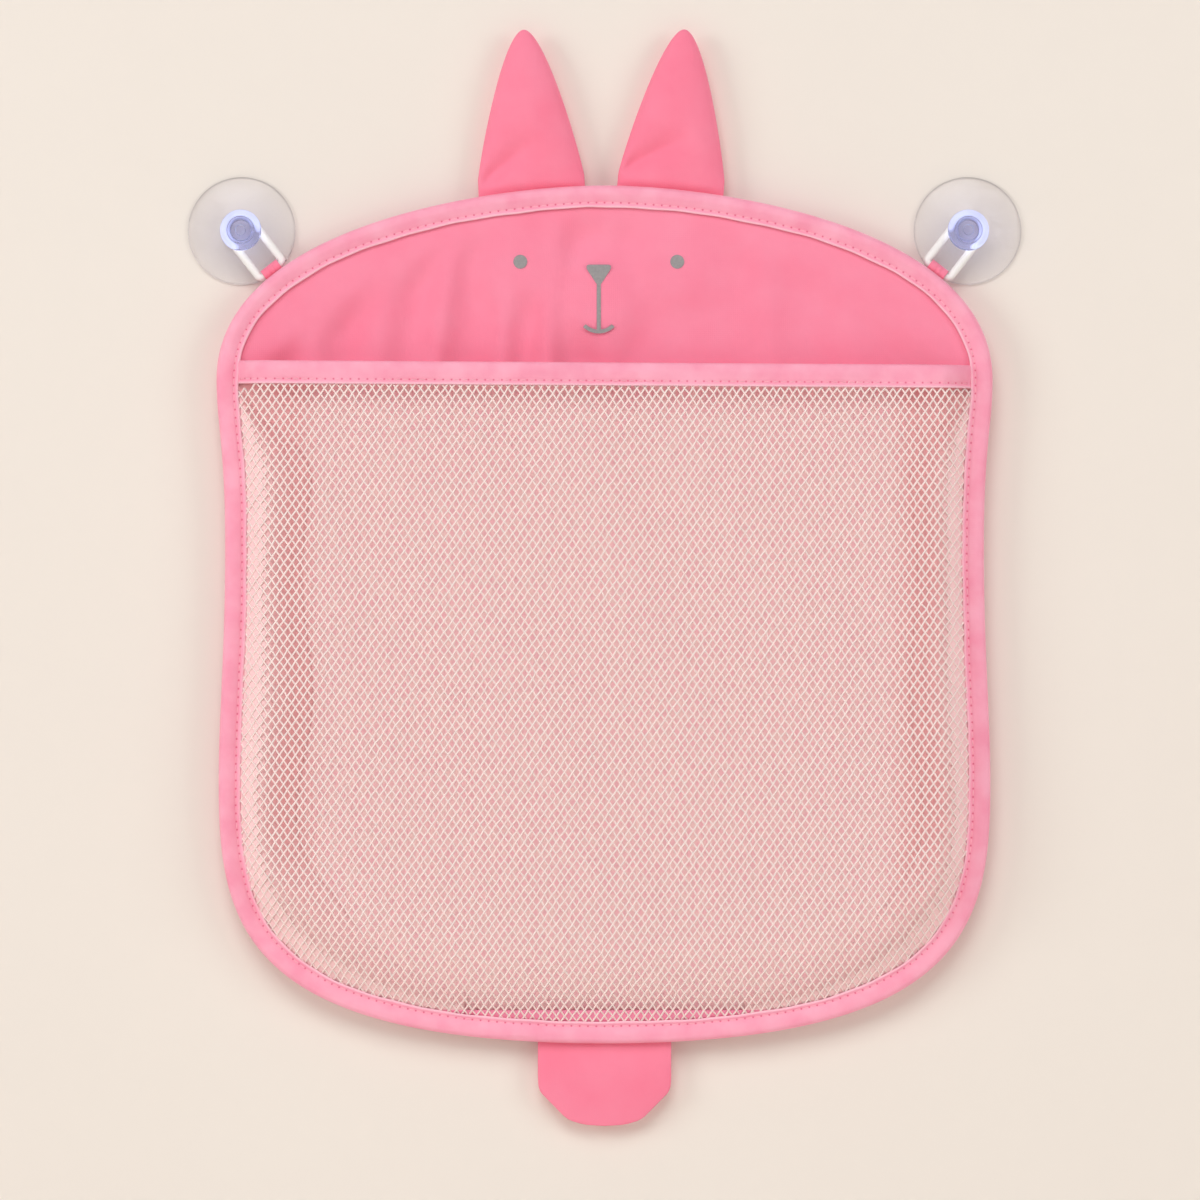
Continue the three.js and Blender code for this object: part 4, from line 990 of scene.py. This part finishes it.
def ear_profile():
    """Height above the fold line, half width and half thickness of the ear's sections: a straight root,
    then the Bezier side. Thickness rolls up from the seam, grows a little and falls to the tip as a quarter
    of an oval."""
    tip = EAR_HEIGHT - EAR_RISE
    side = bezier([(EAR_HALF, 0.3), EAR_SHOULDER, (EAR_TIP_EASE, tip), (0, tip)],
                  1 - (1 - np.linspace(0, 1, 52)) ** 1.3)
    root = np.linspace(-ROOT_TUCK - EAR_RISE, 0, 10)[:-1]
    height = np.concatenate([root[:1], root, side[:, 1]])
    width = np.concatenate([[0], np.full(9, EAR_HALF), side[:, 0]])
    middle = 0.45 * tip
    up = np.clip((height - middle) / (tip - middle), 0, 1)
    full = smooth(height, *EAR_ROLL) * (0.62 + 0.38 * smooth(height, 0, 26))
    swell = EAR_CROWN * full * np.sqrt(np.clip(1 - up**EAR_FULLNESS, 0, 1))
    thickness = ROOT_HALF * np.sqrt(np.clip(1 - up**8, 0, 1)) + swell
    thickness[0] = 0
    return height, width, thickness


# %% Blowing up the cushion
# The grid is about 1 mm fine and the seam is held, so a low pressure would hardly move it.
PRESSURE, FRAMES, MOST = 200.0, 20, 2.2


def points_of(piece):
    """A mesh's points as an array (n, 3) in metres."""
    flat = np.empty(len(piece.data.vertices) * 3)
    piece.data.vertices.foreach_get("co", flat)
    return flat.reshape(-1, 3)


def blow_up(piece, held):
    """Cloth under pressure from inside, with no gravity, over FRAMES frames. Points where held is true
    stay, and no point moves further than MOST millimetres. The result goes into the mesh, and the Cloth
    modifier is removed."""
    start = points_of(piece)
    pinned = piece.vertex_groups.new(name="sewn")
    pinned.add(np.flatnonzero(held).tolist(), 1.0, "REPLACE")
    cloth = piece.modifiers.new("padding", "CLOTH")
    cloth.settings.quality = 6
    cloth.settings.mass = 0.05
    cloth.settings.vertex_group_mass = "sewn"
    cloth.settings.use_pressure = True
    cloth.settings.uniform_pressure_force = PRESSURE
    cloth.settings.effector_weights.gravity = 0
    cloth.point_cache.frame_end = FRAMES
    for number in range(1, FRAMES + 1):
        bpy.context.scene.frame_set(number)
    blown = np.empty(start.size)
    piece.evaluated_get(bpy.context.evaluated_depsgraph_get()).data.vertices.foreach_get("co", blown)
    moved = blown.reshape(-1, 3) - start
    far = np.linalg.norm(moved, axis=1, keepdims=True) / MM
    print(f"{piece.name}: the padding moved the cloth by up to {far.max():.2f} mm")
    piece.modifiers.remove(cloth)
    piece.vertex_groups.clear()
    bpy.context.scene.frame_set(1)
    moved *= np.minimum(1, MOST / np.maximum(far, 1e-9))
    piece.data.vertices.foreach_set("co", (start + moved).ravel())


# %% Ears
# Each fold: from and to in x and z, in millimetres, as the photograph shows it.
EAR_FOLDS = {"left": ((-51.5, 19.5), (-30.0, 37.0)), "right": ((8.0, 26.0), (33.0, 38.5))}
FOLD_DEPTH, FOLD_HALF = 4.0, (3.0, 7.0)
# Held while it is blown up: below the fold line, down from the tip, and as near as this to the seam.
ROOT_HELD, TIP_HELD, ON_SEAM = 3.5, 9.0, 0.05
EAR_BEND, TAIL_BEND = 4.0, 3.0  # half the length handed to bend_at at each hinge, which bends nothing


def fold_in(piece, start, end):
    """Presses a soft valley into the front: a bell across the line, narrow at its start, wider and gone
    past its end."""
    points = points_of(piece)
    line = np.array(end) - start
    length = np.hypot(*line)
    line = line / length
    away = points[:, [0, 2]] / MM - start
    along, across = away @ line, away @ np.array([-line[1], line[0]])
    front = smooth(-points[:, 1] / MM, SEAM_DEPTH + 0.3, SEAM_DEPTH + 3)
    deep = FOLD_DEPTH * smooth(along, -6, 4) * (1 - smooth(along, 0.6 * length, 1.25 * length))
    half = FOLD_HALF[0] + (FOLD_HALF[1] - FOLD_HALF[0]) * np.clip(along / length, 0, 1)
    valley = np.exp(-np.abs(across / half) ** 1.5)
    points[:, 1] += front * deep * valley * MM
    piece.data.vertices.foreach_set("co", points.ravel())


def baked_smooth(piece, levels):
    """Replaces the mesh by its own subdivided one, so that it is final."""
    finer = piece.modifiers.new("finer", "SUBSURF")
    finer.levels = finer.render_levels = levels
    mesh = bpy.data.meshes.new_from_object(piece.evaluated_get(bpy.context.evaluated_depsgraph_get()))
    piece.modifiers.clear()
    piece.data = mesh


def bend_at(piece, hinge, span):
    """Bakes the piece's place into its mesh. The two ends of the hinge line, span millimetres each way, are
    worked out but not used, so the piece is not bent."""
    at, _, up = hinge
    ends = [place(at[0] + way * up[0], SEAM_DEPTH, at[1] + way * up[1]).tolist() for way in (-span, span)]
    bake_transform(piece)


for side in ("left", "right"):
    hinge = joint_frame(f"ear_{side}_fold")
    height, width, thickness = ear_profile()
    ear = cushion(f"ear_{side}_padded", height, width, thickness, hinge, ear_cloth)
    points = points_of(ear) / MM
    above = (points[:, [0, 2]] - hinge[0]) @ hinge[2]
    ends = (above < -ROOT_HELD) | (above > EAR_HEIGHT - EAR_RISE - TIP_HELD)
    seam = np.abs(-points[:, 1] - SEAM_DEPTH) < ON_SEAM
    blow_up(ear, ends | seam)
    baked_smooth(ear, 1)
    fold_in(ear, *EAR_FOLDS[side])
    bend_at(ear, hinge, EAR_BEND)
    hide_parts(*(f"ear_{side}_{layer}" for layer in ("front", "back", "wadding", "root")))
    report(ear)

# %% [markdown]
# ## Tail
# The tail is two cloths sewn together and turned, with nothing inside, so it is flat with a soft rounded
# edge. The same section form as the ears makes it, only thinner and without the simulation.

# %% Tail
TAIL_HALF, TAIL_DROP, TAIL_FOLD = 27.8, 34.6, 4.0
# Half width and drop of the sewn corners.
TAIL_CORNERS = ((27.8, 14.0), (27.5, 19.8), (15.4, 32.0), (8.5, 34.1), (0, 34.6))
corner = np.array(TAIL_CORNERS)
corner_run = lengths(*corner.T)
along = np.linspace(0, corner_run[-1], 64)
ironed = np.ones(9) / 9  # rounds the sewn corners by averaging along the seam
seam = np.stack([np.convolve(np.pad(np.interp(along, corner_run, line), 4, mode="edge"), ironed, "valid")
                 for line in corner.T])
seam[:, -1] = corner[-1]
straight = np.linspace(ROOT_TUCK + TAIL_FOLD, TAIL_FOLD - TAIL_CORNERS[0][1], 24)[:-1]
tail_height = np.concatenate([straight[:1], straight, TAIL_FOLD - seam[1]])
tail_width = np.concatenate([[0], np.full(23, TAIL_HALF), seam[0]])
tail_hinge = joint_frame("tail_swing")
tail_rise = smooth(-tail_height, 0, 10) * np.sqrt(np.clip(tail_width / TAIL_HALF, 0, 1))
tail_thickness = ROOT_HALF * np.clip(tail_width / TAIL_HALF, 0, 1) ** 0.4 + 0.9 * tail_rise
tail = cushion("tail_flap", tail_height, tail_width, tail_thickness, tail_hinge, ear_cloth)
bend_at(tail, (tail_hinge[0], tail_hinge[1], -tail_hinge[2]), TAIL_BEND)
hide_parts("tail_front", "tail_back", "tail_root")
report(tail)

# %% [markdown]
# ## Tabs, rings and cups
# A short cloth tab is folded round the straight bar of a white plastic ring, and the ring's arch sits
# under the soft head of a clear suction cup. All three are exact shapes: a ribbon, a rod along a path and
# a turned profile.

# %% Hanger frame
TAB_TUCK, BAR_AT, LOOP_MIDDLE, TAB_TAPE = 8.0, 1.8, 2.2, 0.6
RING_WIRE, RING_SPACING, RING_REACH, RING_CORNER = 3.2, 12.0, 20.9, 1.8
TAB_WIDTH, TAB_APART = 8.2, 0.35  # and half the distance between its two layers


def hanger_place(side, across, depth, rise):
    """Points from across and rise, which run along the ring's bar and from the bar to the cup, and depth."""
    at, along, up = joint_frame(f"ring_{side}_tilt")
    return place(at[0] + across * along[0] + rise * up[0], depth, at[1] + across * along[1] + rise * up[1])


# %% Tabs
def tab_line():
    """The tab's middle line as depth and rise: up in front from the seam, round the bar and down behind
    it."""
    lean = math.asin(TAB_APART / LOOP_MIDDLE)
    turn = np.linspace(-np.pi / 2 + lean, 1.5 * np.pi - lean, 40)
    tail_end = np.linspace(-TAB_TUCK - BAR_AT, -LOOP_MIDDLE, 8)[:-1]
    depth = np.concatenate([np.full(7, TAB_APART), LOOP_MIDDLE * np.cos(turn), np.full(7, -TAB_APART)])
    rise = np.concatenate([tail_end, LOOP_MIDDLE * np.sin(turn), tail_end[::-1]])
    return SEAM_DEPTH + depth, rise


tab_depth, tab_rise = tab_line()
tab_length = lengths(tab_depth, tab_rise)
tab_across = np.linspace(-TAB_WIDTH / 2, TAB_WIDTH / 2, 21)
crimp = 0.35 * np.sin(tab_across / 0.4) * np.exp(-((tab_across / 2.2) ** 2))  # three fine creases
for side in ("left", "right"):
    grid = hanger_place(side, tab_across[None, :] + 0 * tab_depth[:, None],
                        tab_depth[:, None] + crimp[None, :], tab_rise[:, None] + 0 * tab_across)
    tab = skin(f"tab_{side}_tape", grid, ear_cloth, uv=(tab_across * MM, tab_length * MM))
    thicken(tab, TAB_TAPE, offset=0)
    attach(tab, "bag")
    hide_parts(f"tab_{side}")
    report(tab)

# %% Rings
# Injection-moulded polypropylene: milky white, a satin skin that glows a little at its edges.
ring_plastic, tree, shader = new_finish("polypropylene_ring_moulded", Roughness=0.35, IOR=1.49,
                                        Subsurface_Weight=0.15, Subsurface_Radius=(0.002, 0.002, 0.002))
_, flow, milk = mottled(tree, 6, ("#F1EFEE", "#FAF8F6"))
tree.links.new(milk, shader.inputs["Base Color"])
bump = add_node(tree, "ShaderNodeBump", {"Height": flow, "Strength": 0.15, "Distance": 0.15 * MM})
tree.links.new(bump.outputs[0], shader.inputs["Normal"])


def ring_line():
    """The ring's middle line, across and rise from the bar: an arch over the neck, two runs, and round
    corners."""
    half, corner = RING_SPACING / 2, RING_SPACING / 2 - RING_CORNER
    arch, bend = np.linspace(0, np.pi, 37), np.linspace(np.pi, 1.5 * np.pi, 12)
    run, bar = np.linspace(RING_REACH, RING_CORNER, 12)[1:-1], np.linspace(-corner, corner, 8)[1:-1]
    turned, lifted = -corner + RING_CORNER * np.cos(bend), RING_CORNER + RING_CORNER * np.sin(bend)
    across = np.concatenate([half * np.cos(arch), np.full(10, -half), turned, bar, -turned[::-1],
                             np.full(10, half)])
    rise = np.concatenate([RING_REACH + half * np.sin(arch), run, lifted, 0 * bar, lifted[::-1], run[::-1]])
    return across, rise


ring_across, ring_rise = ring_line()
ahead = np.stack([np.roll(v, -1) - np.roll(v, 1) for v in (ring_across, ring_rise)], axis=1)
ahead /= np.linalg.norm(ahead, axis=1, keepdims=True)
round_wire = np.linspace(0, 2 * np.pi, 24, endpoint=False)
wire_out, wire_depth = RING_WIRE / 2 * np.cos(round_wire), RING_WIRE / 2 * np.sin(round_wire)
for side in ("left", "right"):
    points = hanger_place(side, ring_across[:, None] + ahead[:, 1:] * wire_out,
                          SEAM_DEPTH + wire_depth[None, :] + 0 * ring_across[:, None],
                          ring_rise[:, None] - ahead[:, :1] * wire_out)
    ring = close_up(skin(f"ring_{side}_moulded", points, ring_plastic, around=True, looped=True))
    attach(ring, f"ring_{side}")
    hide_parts(f"ring_{side}")
    report(ring)

# %% Cup profile
CUP_RADIUS, CUP_LIP, CUP_RIM, CUP_HOLLOW = 22.5, 3.6, 0.9, 2.0
CUP_SWELL, CUP_HUB, NECK_RADIUS, CUP_DOME = (14.0, 3.2), (7.5, 4.4), 4.1, 5.5
HEAD_UNDER, HEAD_RADIUS, HEAD_TOP, HEAD_ROUND = 9.9, 8.6, 14.9, 1.8
HEAD_STEP_RADIUS, HEAD_STEP, DIMPLE_RADIUS, DIMPLE_DEPTH = 5.6, 0.6, 2.2, 2.0


def bow(start, pull, end, count):
    """A quadratic Bezier from start to end, drawn towards pull."""
    t = np.linspace(0, 1, count)[:, None]
    return np.array(start) * (1 - t) ** 2 + 2 * np.array(pull) * t * (1 - t) + np.array(end) * t**2


def cup_profile():
    """Radius and depth, from the middle of the hollow round the lip and over the dome, neck and head to the
    dimple."""
    step_z = HEAD_TOP - HEAD_STEP
    return np.vstack([
        bow((0, CUP_HOLLOW), (CUP_HUB[0], CUP_HOLLOW), (CUP_RADIUS - CUP_LIP, 0), 14),
        bow((CUP_RADIUS - 0.35, 0), (CUP_RADIUS, 0), (CUP_RADIUS, 0.35), 5),
        bow((CUP_RADIUS, CUP_RIM - 0.4), (CUP_RADIUS, CUP_RIM), (CUP_RADIUS - 0.5, CUP_RIM + 0.05), 5),
        bow((CUP_RADIUS - 0.8, CUP_RIM + 0.1), CUP_SWELL, CUP_HUB, 18),
        bow(CUP_HUB, (NECK_RADIUS, CUP_HUB[1]), (NECK_RADIUS, CUP_DOME), 8)[1:],
        bow((NECK_RADIUS, HEAD_UNDER - 0.4), (NECK_RADIUS, HEAD_UNDER), (NECK_RADIUS + 0.4, HEAD_UNDER), 4),
        bow((HEAD_RADIUS - HEAD_ROUND, HEAD_UNDER), (HEAD_RADIUS, HEAD_UNDER),
            (HEAD_RADIUS, HEAD_UNDER + HEAD_ROUND), 8),
        bow((HEAD_RADIUS, HEAD_UNDER + HEAD_ROUND), (HEAD_RADIUS, step_z),
            (HEAD_STEP_RADIUS + 0.3, step_z), 10)[1:],
        bow((HEAD_STEP_RADIUS, step_z + 0.25), (HEAD_STEP_RADIUS, HEAD_TOP),
            (HEAD_STEP_RADIUS - 0.3, HEAD_TOP), 4),
        bow((DIMPLE_RADIUS + 0.4, HEAD_TOP), (DIMPLE_RADIUS, HEAD_TOP), (DIMPLE_RADIUS, HEAD_TOP - 0.4), 4),
        bow((DIMPLE_RADIUS, HEAD_TOP - 1), (DIMPLE_RADIUS, HEAD_TOP - DIMPLE_DEPTH),
            (0, HEAD_TOP - DIMPLE_DEPTH), 8),
    ])


radius, cup_depth = cup_profile().T
cup_length = lengths(radius, cup_depth)
cup_share = cup_length / cup_length[-1]
RIM_SHARE, NECK_SHARE = cup_share[np.argmax(radius)], cup_share[np.argmin(np.abs(cup_depth - CUP_DOME))]
RIM_SHADE_LINE, NECK_BLEND = 0.018, 0.02  # shares over which the rim's painted shade line fades and the head's tone begins

# %% Clear PVC
# Soft clear PVC, moulded and polished: see-through with a weak shine and a blue lavender tone in the thick
# head. A fine grey line round the rim is painted shade, where the edge turns the light away.
clear_pvc, tree, shader = new_finish("clear_pvc_moulded", Roughness=0.13, IOR=1.42, Transmission_Weight=1.0,
                                     Specular_Tint=linear("#A8A8A8"))
spot = add_node(tree, "ShaderNodeTexCoord")
on_profile = add_node(tree, "ShaderNodeSeparateXYZ", {0: spot.outputs["UV"]})
rim_shade_and_tone = add_node(tree, "ShaderNodeValToRGB", {0: on_profile.outputs["Y"]})
rim_shade_and_tone.color_ramp.elements[1].position = RIM_SHARE + RIM_SHADE_LINE
rim_shade_and_tone.color_ramp.elements[0].position = RIM_SHARE - RIM_SHADE_LINE
for element in rim_shade_and_tone.color_ramp.elements:
    element.color = linear("#FFFFFF")
# painted shade: a grey line at the rim
rim_shade_and_tone.color_ramp.elements.new(RIM_SHARE).color = linear("#DAD6DA")
rim_shade_and_tone.color_ramp.elements.new(NECK_SHARE).color = linear("#FFFFFF")
rim_shade_and_tone.color_ramp.elements.new(NECK_SHARE + NECK_BLEND).color = linear("#E2E7FF")
tree.links.new(rim_shade_and_tone.outputs[0], shader.inputs["Base Color"])
tint = add_node(tree, "ShaderNodeVolumeAbsorption", {"Color": (0.08, 0.2, 0.94, 1), "Density": 24.0})
tree.links.new(tint.outputs[0], tree.nodes["Material Output"].inputs["Volume"])
light_path = add_node(tree, "ShaderNodeLightPath")
passed = add_node(tree, "ShaderNodeMapRange", {"Value": on_profile.outputs["Y"], "From Min": NECK_SHARE,
                                               "From Max": NECK_SHARE + NECK_BLEND})
shaded = add_node(tree, "ShaderNodeMix", {0: passed.outputs[0], 6: linear("#7E7C7E"), 7: linear("#FFFFFF")},
                  data_type="RGBA")
lit_through = add_node(tree, "ShaderNodeBsdfTransparent", {"Color": shaded.outputs[2]})
in_shadow = light_path.outputs["Is Shadow Ray"]
see_through = add_node(tree, "ShaderNodeMixShader",
                       {0: in_shadow, 1: shader.outputs[0], 2: lit_through.outputs[0]})
tree.links.new(see_through.outputs[0], tree.nodes["Material Output"].inputs["Surface"])

# %% Cups
spin = np.linspace(0, 2 * np.pi, 96, endpoint=False)
for side in ("left", "right"):
    hub = np.array(next(j for j in frame["joints"] if j["name"] == f"cup_{side}_turn")["pos_m"]) / MM
    points = place(hub[0] + radius[:, None] * np.cos(spin), cup_depth[:, None] + 0 * spin,
                   hub[2] + radius[:, None] * np.sin(spin))
    cup = close_up(skin(f"suction_cup_{side}_clear", points, clear_pvc, around=True,
                        uv=(np.append(spin, 2 * np.pi), cup_share)))
    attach(cup, f"cup_{side}")
    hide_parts(f"suction_cup_{side}")
    report(cup)

# %% [markdown]
# ## Size and finish
# The dressed model has to keep the CAD model's size, give or take the fabric that stands proud. Both boxes
# are printed so that they can be compared.

# %% Sizes of both boxes
boxes = {"cad": [list(corner) for corner in cad_box], "visual": [list(corner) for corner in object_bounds()]}
for name, (low, high) in boxes.items():
    print(name, [round((b - a) / MM, 1) for a, b in zip(low, high)], "mm")
